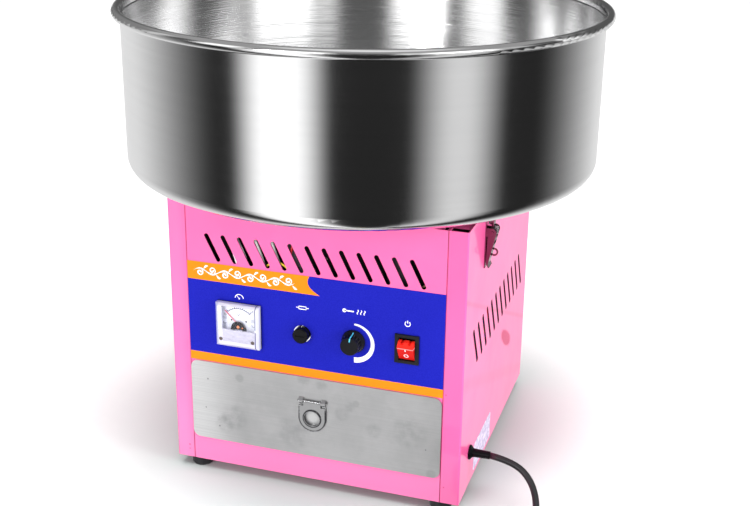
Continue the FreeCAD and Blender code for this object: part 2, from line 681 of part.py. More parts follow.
def switch_housing():
    """A rocker switch's frame and body, open at the front for the rocker."""
    def block(wide, y, tall):
        return box(("switch_x - (%s)" % wide, "switch_x + (%s)" % wide), y,
                   ("control_z - (%s)" % tall, "control_z + (%s)" % tall))
    bezel = block("bezel_wide / 2", ("face - bezel_thick", "face"), "bezel_tall / 2")
    rear = block("bezel_wide / 2 - 2.1", ("face", "front + 22"), "bezel_tall / 2 - 2.1")
    room = block("rocker_wide / 2 + 0.4", ("face - 5", "front + 15"),
                 "rocker_tall / 2 + rocker_room")
    tags = [box(("switch_x - 0.4", "switch_x + 0.4"), ("front + 22", "front + 30"),
                ("control_z + %d" % (z - 3), "control_z + %d" % (z + 3))) for z in (-7, 7)]
    pins = rod("x", (PIVOT, "control_z"), ("switch_x - bezel_wide / 2 + 3",
                                          "switch_x + bezel_wide / 2 - 3"), "1.5 + run_gap")
    return less(join(bezel, rear, *tags), room, pins)


def switch_rocker():
    """The red rocker: a ridged face on two pins, notched at its top, its foot pressed in."""
    rocker = Body()
    tall = "(rocker_tall / 2)"
    side = rocker.sketch("YZ")
    outline(side, [("-7", "-" + tall), ("-rocker_out", "rocker_ridge"), ("-8", tall), ("-3", tall),
                   ("2.5", "4"), ("2.5", "-4"), ("-3", "-" + tall)])
    rocker.feature("Pad", side, {"Length": "rocker_wide"}, Midplane=True)
    pin = rocker.sketch("YZ")
    circle(pin, "0", "0", "1.5")
    rocker.feature("Pad", pin, {"Length": "bezel_wide - 6.4"}, Midplane=True)
    top = num(tall)
    rocker.dress("Fillet", lambda edge: edge.BoundBox.XLength > num("rocker_wide / 2")
                 and abs(edge.BoundBox.ZMax - edge.BoundBox.ZMin) < 0.01
                 and abs(abs(edge.BoundBox.ZMax) - top) < 0.01
                 and edge.BoundBox.YMax < -6, {"Radius": "0.8"})
    notch = rocker.sketch("XZ")
    for middle in ("-notch_x", "notch_x"):
        low, high = middle + " - notch_wide / 2", middle + " + notch_wide / 2"
        outline(notch, [(low, tall + " - notch_deep"), (high, tall + " - notch_deep"),
                        (high, tall + " + 1"), (low, tall + " + 1")])
    rocker.feature("Pocket", notch, Type="ThroughAll", Midplane=True)
    body = rocker.body
    tilt = FreeCAD.Rotation(FreeCAD.Vector(1, 0, 0), num("rocker_tilt"))
    body.Placement = FreeCAD.Placement(FreeCAD.Vector(), tilt)
    bind(body, {"Placement.Base.x": "switch_x", "Placement.Base.y": PIVOT,
                "Placement.Base.z": "control_z"})
    return rocker


node("front_overlay", front_overlay())
node("meter_case", meter_case())
node("meter_cover", meter_cover())
node("meter_dial", meter_dial())
node("meter_needle", meter_needle())
node("meter_shroud", meter_shroud())
node("fuse_holder", fuse_holder())
node("fuse_washer", ring("y", ("fuse_x", "control_z"), ("face - 1.2", "face"),
                         "fuse_washer_radius", "fuse_radius"))
node("fuse_cap", fuse_cap())
node("heat_knob", heat_knob())
node("potentiometer", potentiometer())
node("switch_housing", switch_housing())
node("switch_rocker", switch_rocker())


# ---- drawer ----

def drawer_tray():
    """A folded box with rounded corners, open at the top."""
    tray = Body()
    half_wide = "tray_wide / 2"
    rear = "drawer_back + tray_long"
    plan = tray.sketch("XY", "tray_low")
    outline(plan, [("-" + half_wide, "drawer_back"), (half_wide, "drawer_back"),
                   (half_wide, rear), ("-" + half_wide, rear)])
    tray.feature("Pad", plan, {"Length": "tray_tall"})
    spots = [(side * num(half_wide), num(y)) for side in (1, -1) for y in ("drawer_back", rear)]
    tray.dress("Fillet", lambda edge: any(upright(edge, *spot) for spot in spots),
               {"Radius": "tray_round"})
    inside = tray.sketch("XY", "tray_low + tray_wall")
    half_in = "(tray_wide / 2 - tray_wall)"
    outline(inside, [("-" + half_in, "drawer_back + tray_wall + tray_round"),
                     ("-%s + tray_round" % half_in, "drawer_back + tray_wall"),
                     (half_in + " - tray_round", "drawer_back + tray_wall"),
                     (half_in, "drawer_back + tray_wall + tray_round"),
                     (half_in, rear + " - tray_wall - tray_round"),
                     (half_in + " - tray_round", rear + " - tray_wall"),
                     ("-%s + tray_round" % half_in, rear + " - tray_wall"),
                     ("-" + half_in, rear + " - tray_wall - tray_round")])
    tray.feature("Pocket", inside, {"Length": "tray_tall"}, Reversed=True)
    return tray


PLATE = "(drawer_back - drawer_plate)"
BAR_Y = "(drawer_back - drawer_plate - seat_gap - pull_bar)"


def drawer_front():
    """The stainless face with rounded corners and two lanced straps for the pull."""
    face = Body()
    wide = "drawer_front_wide / 2"
    sheet = face.sketch("XZ", "-drawer_back")
    outline(sheet, [("-" + wide, "drawer_front_low"), (wide, "drawer_front_low"),
                    (wide, "drawer_front_high"), ("-" + wide, "drawer_front_high")])
    face.feature("Pad", sheet, {"Length": "drawer_plate"})
    face.dress("Fillet", lambda edge: edge.BoundBox.YLength > 1 and
               edge.BoundBox.XLength < 0.01, {"Radius": "front_round"})
    outer = "(pull_bar + run_gap + 1.1)"
    for middle in ("strap_x", "-strap_x"):
        strap = face.sketch("YZ", middle + " - strap_wide / 2")
        outline(strap, [(PLATE, "pull_top - strap_tall / 2"),
                        (PLATE, "pull_top + strap_tall / 2"),
                        (BAR_Y + " - 0.6", "pull_top + " + outer),
                        ("%s - %s" % (BAR_Y, outer), "pull_top + 0.9"),
                        ("%s - %s" % (BAR_Y, outer), "pull_top - 0.9"),
                        (BAR_Y + " - 0.6", "pull_top - " + outer)])
        face.feature("Pad", strap, {"Length": "strap_wide"})
    bore = face.sketch("YZ")
    circle(bore, BAR_Y, "pull_top", "pull_bar + run_gap")
    face.feature("Pocket", bore, Type="ThroughAll", Midplane=True)
    return face


def pull_plate():
    """A D-shaped ring pull that hangs from its own rolled bar, its hole lipped."""
    low, high = BAR_Y + " - pull_thick / 2", BAR_Y + " + pull_thick / 2"
    bar = rod("x", (BAR_Y, "pull_top"), ("-strap_x - strap_wide / 2 - 1",
                                        "strap_x + strap_wide / 2 + 1"), "pull_bar")
    reach = "(strap_x - strap_wide / 2 - 0.4)"
    neck = box(("-" + reach, reach), (low, high), ("pull_top - pull_ear - 1", "pull_top"))
    middle = "pull_top - pull_tall + pull_wide / 2"
    ears = box(("-pull_wide / 2", "pull_wide / 2"), (low, high), (middle, "pull_top - pull_ear"))
    bow = rod("y", (0, middle), (low, high), "pull_wide / 2")
    lip = rod("y", (0, middle), (low + " - pull_lip", low + " + 0.2"), "pull_hole + 1.6")
    hole = rod("y", (0, middle), (low + " - 1", high + " + 1"), "pull_hole")
    return less(join(bar, neck, ears, bow, lip), hole)


def drawer_rail(side):
    """A runner on the base plate: foot, web and the ledge that the tray slides on."""
    web = "(tray_wide / 2 + rail_room)"
    span = ("front + fold + rail_in", "front + fold + rail_in + rail_long")
    foot_leg = box(across(side, web, web + " + rail_foot"), span, ("floor", "floor + sheet"))
    upright_leg = box(across(side, web, web + " + sheet"), span,
                      ("floor", "tray_low + tray_tall / 3"))
    ledge = box(across(side, web + " - rail_ledge", web), span,
                ("tray_low - seat_gap - sheet", "tray_low - seat_gap"))
    return join(foot_leg, upright_leg, ledge)


node("drawer_tray", drawer_tray())
node("drawer_front", drawer_front())
node("pull_plate", pull_plate())
node("rail_left", drawer_rail(-1))
node("rail_right", drawer_rail(1))


# ---- bowl ----

def bowl():
    """A spun bowl: flat floor with a drawn neck, rolled corner, deep wall, wired rim."""
    spun = Body()
    wall, low = "bowl_wall", "bowl_low"
    rim = "(bowl_top - bead_radius)"
    profile = outline(spun.sketch("XZ"), [
        ("bowl_radius", low), ("bowl_radius", rim), ("bowl_radius - " + wall, rim),
        ("bowl_radius - " + wall, "%s + %s" % (low, wall)),
        ("neck_radius + " + wall, "%s + %s" % (low, wall)),
        ("neck_radius + " + wall, "%s + %s + neck_tall" % (low, wall)),
        ("neck_radius", "%s + %s + neck_tall" % (low, wall)), ("neck_radius", low)])
    spun.feature("Revolution", profile, ReferenceAxis=(profile, ["V_Axis"]))
    radius, thick, base = num("bowl_radius"), num(wall), num(low)

    def corner(edge_radius, height):
        return lambda edge: (isinstance(edge.Curve, Part.Circle)
                             and abs(edge.Curve.Radius - edge_radius) < 0.01
                             and abs(edge.BoundBox.ZMin - height) < 0.01)
    spun.dress("Fillet", corner(radius, base), {"Radius": "bowl_corner"})
    spun.dress("Fillet", corner(radius - thick, base + thick),
               {"Radius": "bowl_corner - bowl_wall"})
    neck = num("neck_radius")
    spun.dress("Fillet", corner(neck, base), {"Radius": "4 + bowl_wall"})
    spun.dress("Fillet", corner(neck + thick, base + thick), {"Radius": "4"})
    bead = circle(spun.sketch("XZ"), "bowl_radius - bowl_wall - bead_bite + bead_radius", rim,
                  "bead_radius")
    spun.feature("Revolution", bead, ReferenceAxis=(bead, ["V_Axis"]))
    return spun


RIGHT, LEFT, REAR = 0, 180, 90
SITES = {"right": (RIGHT, "half", "latch_y"), "left": (LEFT, "-half", "latch_y"),
         "rear": (REAR, 0, "back")}


def stand(thing, site):
    """Turns what is drawn with its outward side along X, and sets it on a case wall."""
    angle, x, y = SITES[site]
    turn = FreeCAD.Rotation(FreeCAD.Vector(0, 0, 1), angle)
    holder = group(thing)
    return put(holder, x, y, turn=turn)


def bowl_catches():
    """Three bent straps welded under the bowl, each with an outward lip for its latch."""
    straps = []
    across = ("-catch_wide / 2", "catch_wide / 2")
    for site in SITES:
        foot_top = box(("-catch_foot", 2.7), across, ("bowl_low - sheet", "bowl_low"))
        web = box((1.5, 2.7), across, ("lip_z", "bowl_low"))
        lip = box((1.5, "2.7 + lip_long"), across, ("lip_z", "lip_z + sheet"))
        straps.append(stand(join(foot_top, web, lip), site))
    return group(*straps)


node("bowl", bowl())
node("bowl_catches", bowl_catches())
node("seat_ring", ring("z", (0, 0), ("deck", "bowl_low"), "seat_radius",
                       "seat_radius - seat_wide"))


# ---- head, spindle and slip rings ----

def head_pan():
    """The spun base of the head: hub, dished floor and a low rim."""
    return lathe([("spindle_radius", "head_low - hub_deep"),
                  ("hub_radius", "head_low - hub_deep"),
                  ("hub_radius", "head_low"), ("head_radius - 5", "head_low"),
                  ("head_radius - 2.5", "head_low + pan_rim * 0.4"),
                  ("head_radius - 2", "head_low + pan_rim"),
                  ("head_radius - 2 - head_skin", "head_low + pan_rim"),
                  ("head_radius - 2.7 - head_skin", "head_low + pan_rim / 2"),
                  ("band_radius + 1", "head_low + head_skin"),
                  ("hub_radius + 3", "head_low + head_skin"),
                  ("hub_radius - 2", "head_low + hub_deep"),
                  ("spindle_radius", "head_low + hub_deep")])


def heater_band():
    """The ribbon that melts the sugar: a band cut by rows of upright slots."""
    band = Body()
    low = "head_low + head_skin"
    plan = band.sketch("XY", low)
    circle(plan, "0", "0", "band_radius")
    circle(plan, "0", "0", "band_radius - 1.6")
    band.feature("Pad", plan, {"Length": "band_tall"})
    cutter = band.sketch("XZ")
    outline(cutter, [("-1.2", low + " + 3"), ("1.2", low + " + 3"),
                     ("1.2", "band_top - 3"), ("-1.2", "band_top - 3")])
    gap = band.feature("Pocket", cutter, Type="ThroughAll")
    band.round("Z_Axis", gap, "band_slots")
    return band


STUD_SPOTS = [("%d * (band_radius - 8)" % x, "%d * (band_radius - 8)" % y)
              for x, y in ((1, 0), (0, 1), (-1, 0), (0, -1))]


def head_cap():
    """The top of the head: a shallow cone with an open sugar well, bored for its studs."""
    low = "band_top"
    top, skirt, inside = low + " + cap_tall", low + " - cap_skirt", "head_radius - cap_step"
    cone_top = lathe([("well_radius", top + " - cap_thick"), ("band_radius + 1", low),
                      (inside, low), (inside, skirt), ("head_radius", skirt),
                      ("head_radius", low + " + cap_step / 2"), (inside, low + " + cap_step"),
                      ("well_radius + 8", top + " - cap_step"), ("well_radius + 3", top),
                      ("well_radius", top)])
    return less(cone_top, *[rod("z", spot, (low + " - 1", top), "stud_radius + run_gap")
                            for spot in STUD_SPOTS])


def head_studs():
    """Four studs that hold the cap on the pan, with a round nut on each."""
    nut_low = "band_top + 4.6"
    return group(*[join(rod("z", spot, ("head_low + head_skin", nut_low + " + nut_tall"),
                            "stud_radius"),
                        rod("z", spot, (nut_low, nut_low + " + nut_tall - 1"), "nut_radius"))
                   for spot in STUD_SPOTS])


def spindle():
    """The motor's long shaft, stepped at its lower end, domed at the top."""
    return lathe([("0", "motor_low - 6"), ("spindle_radius - 1", "motor_low - 6"),
                  ("spindle_radius - 1", "motor_low - 2"), ("spindle_radius", "motor_low - 2"),
                  ("spindle_radius", "head_low + 12"), ("spindle_radius - 1.5", "head_low + 14"),
                  ("0", "head_low + 14")])


def slip_rings():
    rings = []
    for number in (0, 1):
        low = "slip_low + 1.5 + %d * (slip_wide + 2)" % number
        rings.append(ring("z", (0, 0), (low, low + " + slip_wide"),
                          "slip_radius + slip_thick", "slip_radius"))
    return group(*rings)


def brush_holder():
    """An insulating block on the deck with a slot for each brush."""
    reach = "(slip_radius + slip_thick)"
    block = box((reach + " + 5", reach + " + 26"), (-8, 8),
                ("deck", "slip_low + 3 + 2 * slip_wide + 2"))
    lips = [box((reach + " + 4", reach + " + 18"), (-2.5, 2.5),
                ("slip_low + 1.5 + %d * (slip_wide + 2)" % number,
                 "slip_low + 1.5 + %d * (slip_wide + 2) + slip_wide" % number))
            for number in (0, 1)]
    return less(block, *lips)


def brushes():
    reach = "(slip_radius + slip_thick)"
    return group(*[box((reach + " + seat_gap", reach + " + 18"), (-2.5, 2.5),
                       ("slip_low + 1.5 + %d * (slip_wide + 2)" % number,
                        "slip_low + 1.5 + %d * (slip_wide + 2) + slip_wide" % number))
                   for number in (0, 1)])


def motor_body():
    """The motor's laminated shell with four flats, between its end bells."""
    shell = rod("z", (0, 0), ("motor_low + bell_long", "motor_top - bell_long"),
                "motor_radius")
    flats = box(("-motor_radius + 2.5", "motor_radius - 2.5"),
                ("-motor_radius + 2.5", "motor_radius - 2.5"),
                ("motor_low + bell_long", "motor_top - bell_long"))
    both = doc.addObject("Part::Common", "Both")
    both.Base, both.Tool = shell, flats
    bore = rod("z", (0, 0), ("motor_low", "motor_top"), "spindle_radius + 3")
    return less(both, bore)


def motor_bells():
    """The cast end bells, each bored for its bearing."""
    room = "bearing_radius"
    upper = lathe([(room, "motor_top"), ("motor_radius - 10", "motor_top"),
                   ("motor_radius - 3", "motor_top - 4"),
                   ("motor_radius - 3", "motor_top - bell_long"),
                   ("spindle_radius + 3", "motor_top - bell_long"),
                   ("spindle_radius + 3", "motor_top - bearing_long"),
                   (room, "motor_top - bearing_long")])
    lower = lathe([(room, "motor_low"), ("motor_radius - 14", "motor_low"),
                   ("motor_radius - 3", "motor_low + 6"),
                   ("motor_radius - 3", "motor_low + bell_long"),
                   ("spindle_radius + 3", "motor_low + bell_long"),
                   ("spindle_radius + 3", "motor_low + bearing_long"),
                   (room, "motor_low + bearing_long")])
    return group(upper, lower)


def bearings():
    inner = "spindle_radius + run_gap"
    return group(ring("z", (0, 0), ("motor_top - bearing_long", "motor_top"),
                      "bearing_radius", inner),
                 ring("z", (0, 0), ("motor_low", "motor_low + bearing_long"),
                      "bearing_radius", inner))


def motor_bracket():
    """The square plate that the motor bolts to, with its corners cut off."""
    reach, cut = "(bracket_side / 2)", "14"
    plate = prism("xy", "motor_top", "bracket_thick", [
        ("-%s + %s" % (reach, cut), "-" + reach), ("%s - %s" % (reach, cut), "-" + reach),
        (reach, "-%s + %s" % (reach, cut)), (reach, "%s - %s" % (reach, cut)),
        ("%s - %s" % (reach, cut), reach), ("-%s + %s" % (reach, cut), reach),
        ("-" + reach, "%s - %s" % (reach, cut)), ("-" + reach, "-%s + %s" % (reach, cut))])
    return less(plate, rod("z", (0, 0), ("motor_top - 1", "bracket_top + 1"), "15"))


def motor_cushions():
    """Four waisted rubber mounts between the bracket and the deck."""
    mounts = []
    for x in (-1, 1):
        for y in (-1, 1):
            mounts.append(lathe([
                ("0", "bracket_top"), ("cushion_radius", "bracket_top"),
                ("cushion_radius", "bracket_top + 3"),
                ("cushion_radius - 2", "bracket_top + cushion_tall / 2"),
                ("cushion_radius", "deck - sheet - 3"), ("cushion_radius", "deck - sheet"),
                ("0", "deck - sheet")],
                at=("%d * (bracket_side / 2 - 14)" % x, "%d * (bracket_side / 2 - 14)" % y, 0)))
    return group(*mounts)


node("head_pan", head_pan())
node("heater_band", heater_band())
node("head_cap", head_cap())
node("head_studs", head_studs())
node("spindle", spindle())
node("slip_hub", ring("z", (0, 0), ("slip_low", "slip_low + 3 + 2 * slip_wide + 2"),
                      "slip_radius", "spindle_radius"))
node("slip_rings", slip_rings())
node("brush_holder", brush_holder())
node("brushes", brushes())
node("motor_body", motor_body())
node("motor_bells", motor_bells())
node("bearings", bearings())
node("motor_bracket", motor_bracket())
node("motor_cushions", motor_cushions())


# ---- board inside the case ----

def control_board():
    """A circuit board on four posts from the left wall, with its heat sink and relay."""
    wall = "(-half + sheet)"
    face = "(%s + board_off + board_thick)" % wall
    back, head = "(board_front + board_long)", "(board_low + board_tall)"
    board = box((wall + " + board_off", face), ("board_front", back), ("board_low", head))
    posts = [rod("x", (y, z), (wall, wall + " + board_off"), "post_radius")
             for y in ("board_front + post_in", back + " - post_in")
             for z in ("board_low + post_in", head + " - post_in")]
    near, foot = "(board_front + sink_in)", "(board_low + sink_in)"
    sink = box((face, face + " + sink_deep"), (near, near + " + sink_long"),
               (foot, foot + " + sink_tall"))
    fin_wall = "((sink_long - 4 * fin_gap) / 5)"
    gaps = []
    for gap in range(4):
        start = "%s + %s + %d * (%s + fin_gap)" % (near, fin_wall, gap, fin_wall)
        gaps.append(box((face + " + sink_base", face + " + sink_deep + 1"),
                        (start, start + " + fin_gap"), (foot + " - 1", foot + " + sink_tall + 1")))
    relay_y = "(%s - sink_in - relay_long)" % back
    relay = box((face, face + " + relay_deep"), (relay_y, relay_y + " + relay_long"),
                (foot + " + 5", foot + " + 5 + relay_tall"))
    return join(board, *posts, less(sink, *gaps), relay)


# ---- toggle latches, drawn with the case wall at x = 0 ----

def cheek_outline(low, high):
    """The lever's side, from its round end down to the tail, between two depths."""
    return [("pivot_out - lever_end - 0.2", "pivot_z"), ("pivot_out + lever_end", "pivot_z"),
            (high, "pivot_z - lever_long"), (low, "pivot_z - lever_long")]


TAIL_LOW, TAIL_HIGH = "1.5", "3.4"


def web_depth(down, inset="0"):
    """How far out the lever's web stands at a distance below its pivot."""
    return ("(pivot_out + lever_end - (pivot_out + lever_end - %s) * (%s) / lever_long - %s)"
            % (TAIL_HIGH, down, inset))


def latch_base(site):
    """The plate on the case with two ears, their pin stubs and the padlock eye."""
    half_wide = "latch_wide / 2"
    plate = box((0, 1.2), ("-" + half_wide, half_wide), ("latch_low", "latch_high"))
    ears = []
    for side in (1, -1):
        y = across(side, half_wide + " - 1.2", half_wide)
        web = box((0.6, "pivot_out"), y, ("pivot_z - 5", "pivot_z + 4"))
        end = rod("y", ("pivot_out", "pivot_z"), y, "4")
        stub = rod("y", ("pivot_out", "pivot_z"),
                   across(side, half_wide + " - 3.4", half_wide + " + 0.6"), "1.5")
        ears += [web, end, stub]
    eye_z = "pivot_z - 23.5"
    lug = box((0.6, 6), (-0.6, 0.6), (eye_z + " - 4", eye_z + " + 4"))
    eye = rod("y", (8, eye_z), (-0.6, 0.6), "4.3")
    hole = rod("y", (8, eye_z), (-2, 2), "2.6")
    return stand(less(join(plate, *ears, lug, eye), hole), site)


def latch_lever(site):
    """A tapered channel with a slotted web, a finger tail and the pin of its hook."""
    cheeks = []
    half_wide = "latch_wide / 2"
    for side in (1, -1):
        y = across(side, half_wide + " - 2.6", half_wide + " - 1.6")
        flat = prism("xz", y[0], "1", cheek_outline(TAIL_LOW, TAIL_HIGH))
        end = rod("y", ("pivot_out", "pivot_z"), y, "lever_end")
        hole = rod("y", ("pivot_out", "pivot_z"), ("-latch_wide", "latch_wide"),
                   "1.5 + run_gap")
        cheeks.append(less(join(flat, end), hole))
    pin = rod("y", ("pivot_out - 0.2", "pivot_z - draw_arm"),
              ("-%s + 2" % half_wide, half_wide + " - 2"), "1.4")
    reach = "(%s - 1.6)" % half_wide
    web = prism("xz", "-" + reach, "2 * " + reach, [
        (web_depth("15", "1"), "pivot_z - 15"), (web_depth("15"), "pivot_z - 15"),
        (TAIL_HIGH, "pivot_z - lever_long"), (TAIL_HIGH + " + 1.6", "latch_low"),
        (TAIL_HIGH + " + 0.6", "latch_low"),
        (TAIL_HIGH + " - 1", "pivot_z - lever_long")])
    slit = box((0, "latch_wide"), ("-slit_wide / 2", "slit_wide / 2"),
               ("pivot_z - slit_low", "pivot_z - slit_high"))
    return stand(join(*cheeks, pin, less(web, slit)), site)


def latch_hook(site):
    """The draw hook: an eye on the lever's pin, a shank and the claw over the lip."""
    shank_x = ("pivot_out - 0.8", "pivot_out + 0.4")
    claw_low = "lip_z + sheet + seat_gap"
    eye = rod("y", ("pivot_out - 0.2", "pivot_z - draw_arm"), (-4.5, 4.5), "2.8")
    shank = box(shank_x, (-4.5, 4.5), ("pivot_z - draw_arm", claw_low + " + 1.6"))
    claw = box(("pivot_out - 3.8", "pivot_out"), (-4.5, 4.5), (claw_low, claw_low + " + 1.6"))
    hole = rod("y", ("pivot_out - 0.2", "pivot_z - draw_arm"), (-5, 5), "1.4 + run_gap")
    return stand(less(join(eye, shank, claw), hole), site)


node("control_board", control_board())
for site in SITES:
    node("latch_base_" + site, latch_base(site))
for site in SITES:
    node("latch_lever_" + site, latch_lever(site))
for site in SITES:
    node("latch_hook_" + site, latch_hook(site))


# ---- mains lead ----

# Where the lead runs: level out of the gland, down to the ground, round to its coil,
# and from the coil's top turn down to the plug.
ROUTE = [(180.5, -114, 52), (207, -115, 50), (229, -127, 37), (239, -149, 19.5),
         (238, -175, 6.5), (229.5, -202, 3.6), (222.4, -231, 3.6)]
TAIL = [(197.4, -256.5, 17.5), (180.2, -262.7, 12.3), (161.2, -269.7, 9.5)]


def lead_path(route):
    """Straight runs joined by arcs, each as large as its two runs allow."""
    spots = [FreeCAD.Vector(*spot) for spot in route]
    edges, here, radii = [], spots[0], []
    for before, corner, after in zip(spots, spots[1:], spots[2:]):
        inward, outward = (corner - before), (after - corner)
        turn = inward.getAngle(outward)
        back = 0.45 * min(inward.Length, outward.Length)
        radii.append(round(back / tan(turn / 2), 1))
        start = corner - inward.normalize() * back
        end = corner + outward.normalize() * back
        centre_way = (end - corner) + (start - corner)
        reach = radii[-1] / cos(turn / 2) - radii[-1]
        middle = corner + centre_way.normalize() * reach
        edges += [Part.LineSegment(here, start).toShape(), Part.Arc(start, middle, end).toShape()]
        here = end
    edges.append(Part.LineSegment(here, spots[-1]).toShape())
    print("lead radii", radii)
    return Part.Wire(edges)


def lead_tube(route):
    """The lead's round section swept along a route."""
    path = lead_path(route)
    way = path.Edges[0].tangentAt(0)
    section = Part.Wire(Part.makeCircle(num("cord_radius"), path.Edges[0].Vertexes[0].Point, way))
    thing = doc.addObject("Part::Feature", "Lead")
    thing.Shape = path.makePipeShell([section], True, True)
    wanted = pi * num("cord_radius") ** 2 * path.Length
    print("lead length", round(path.Length, 1), "volume ratio",
          round(thing.Shape.Volume / wanted, 4))
    return thing


def cord_gland():
    """The strain relief: a domed flange on the case, a taper outside and a nut inside."""
    at = ("gland_y", "gland_z")
    nut = rod("x", at, ("half - sheet - 4", "half - sheet"), "gland_flange + 1")
    neck = rod("x", at, ("half - sheet", "half"), "cord_radius + gland_wall")
    dome = lathe([("0", "0"), ("gland_flange - 0.3", "0"), ("gland_flange", "0.8"),
                  ("gland_flange - 0.4", "1.8"), ("gland_flange - 1.6", "2.8"),
                  ("cord_radius + 1.6", "3.8"), ("cord_radius + 1.1", "5"),
                  ("cord_radius + 0.6", "gland_long"), ("0", "gland_long")], "x",
                 ("half", "gland_y", "gland_z"))
    return join(nut, neck, dome)


def cord_coil():
    """The outside of the wound length."""
    return ring("z", ("coil_x", "coil_y"), (0, "coil_tall"), "coil_radius + coil_wide / 2",
                "coil_radius - coil_wide / 2")


def plug():
    """A moulded plug with two flat blades and a round earth pin."""
    middle = "(plug_tall / 2)"
    half_wide = "(plug_wide / 2)"
    back, face = "relief_long", "(relief_long + plug_long)"
    body = prism("xy", 0.3, "plug_tall - 0.6", [
        (back, "-8"), (back + " + 6", "-" + half_wide), (face, "-" + half_wide),
        (face, half_wide), (back + " + 6", half_wide), (back, "8")])
    relief = cone("x", (0, middle), (0, back + " + 1"), "cord_radius + 0.9", "cord_radius + 3")
    blades = [box((face + " - 1", face + " + blade_long"), (y + " - 0.75", y + " + 0.75"),
                  (middle + " - 3.2", middle + " + 3.2"))
              for y in ("-blade_pitch / 2", "blade_pitch / 2")]
    earth = rod("x", (0, middle + " + 6"), (face + " - 1", face + " + blade_long + 3"),
                "earth_radius")
    whole = group(join(body, relief, *blades, earth))
    turn = "(coil_radius + cord_radius)"
    return put(whole, "coil_x + %s * cos(leave_turn) + tail_long * sin(leave_turn)" % turn,
               "coil_y + %s * sin(leave_turn) - tail_long * cos(leave_turn)" % turn,
               turn=FreeCAD.Rotation(FreeCAD.Vector(0, 0, 1), num("leave_turn") - 90))


node("cord_gland", cord_gland())
node("power_cord", group(lead_tube(ROUTE), lead_tube(TAIL)))
node("cord_coil", cord_coil())
node("plug", plug())

doc.removeObject("Spare")
doc.recompute()


def check():
    """Stops if anything failed or a sub-part isn't one or more sound closed solids."""
    for thing in doc.Objects:
        if {"Invalid", "Error"} & set(thing.State):
            raise RuntimeError("%s (%s) failed" % (thing.Name, thing.Label))
    for thing in NODES:
        shape = thing.Shape
        if shape.isNull() or not shape.isValid() or not shape.Solids:
            raise RuntimeError("%s is not a sound solid" % thing.Label)


check()
os.makedirs("parts", exist_ok=True)
for thing in NODES:
    thing.Shape.exportStep("parts/%s.step" % thing.Label)
print(len(NODES), "nodes")
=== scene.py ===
from math import cos, pi, radians, sin

import bmesh
import bpy
import numpy as np
from mathutils import Matrix, Vector


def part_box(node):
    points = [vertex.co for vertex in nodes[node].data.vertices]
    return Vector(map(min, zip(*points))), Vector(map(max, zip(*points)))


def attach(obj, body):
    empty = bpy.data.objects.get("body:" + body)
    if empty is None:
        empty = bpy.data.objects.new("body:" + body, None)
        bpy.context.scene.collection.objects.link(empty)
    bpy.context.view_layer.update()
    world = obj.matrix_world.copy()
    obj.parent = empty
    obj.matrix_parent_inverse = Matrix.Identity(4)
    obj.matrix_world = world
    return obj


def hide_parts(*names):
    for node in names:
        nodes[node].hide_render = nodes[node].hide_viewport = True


# Candy floss machine: looks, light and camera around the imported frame. Metres, +Z up, front -Y.

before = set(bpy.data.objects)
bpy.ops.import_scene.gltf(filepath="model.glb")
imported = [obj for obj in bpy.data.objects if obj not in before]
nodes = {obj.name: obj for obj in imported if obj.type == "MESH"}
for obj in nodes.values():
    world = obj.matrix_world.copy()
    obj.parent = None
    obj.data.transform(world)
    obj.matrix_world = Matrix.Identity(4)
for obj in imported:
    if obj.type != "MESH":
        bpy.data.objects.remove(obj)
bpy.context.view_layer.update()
bpy.context.scene.view_settings.view_transform = "Standard"  # plain sRGB, so the paint keeps its colour
skinFace, dialFace = [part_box(name)[0][1] for name in ("front_overlay", "meter_dial")]  # front faces
print("frame loaded:", len(nodes), "nodes")


# the camera stands at the operator's right, a little above the bowl's rim
view = {
    "place": (0.39463, -1.19246, 0.69594), "turn": 17.52, "down": 19.57, "roll": 0.82,
    "lens": 57.41, "shiftX": -0.0034, "shiftY": -0.0404,
}


def addObject(name, data):
    made = bpy.data.objects.new(name, data)
    bpy.context.scene.collection.objects.link(made)
    return made


def makeCamera():
    data = bpy.data.cameras.new("camera")
    data.lens, data.sensor_width = view["lens"], 36
    data.shift_x, data.shift_y = view["shiftX"], view["shiftY"]
    camera = addObject("camera", data)
    turned = (Matrix.Rotation(radians(view["turn"]), 4, "Z")
              @ Matrix.Rotation(radians(90 - view["down"]), 4, "X")
              @ Matrix.Rotation(radians(view["roll"]), 4, "Z"))
    camera.matrix_world = Matrix.Translation(view["place"]) @ turned
    bpy.context.scene.camera = camera


makeCamera()
print("camera set")


def addPiece(name, shape, body, finish=None, smooth=True, replaces=()):
    # the shape is a mesh, or the grids that make one
    mesh = shape if isinstance(shape, bpy.types.Mesh) else gridMesh(name, shape, smooth)
    piece = addObject(name, mesh)
    if finish:
        mesh.materials.append(materials[finish])
    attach(piece, body)
    if replaces:
        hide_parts(*replaces)
    return piece


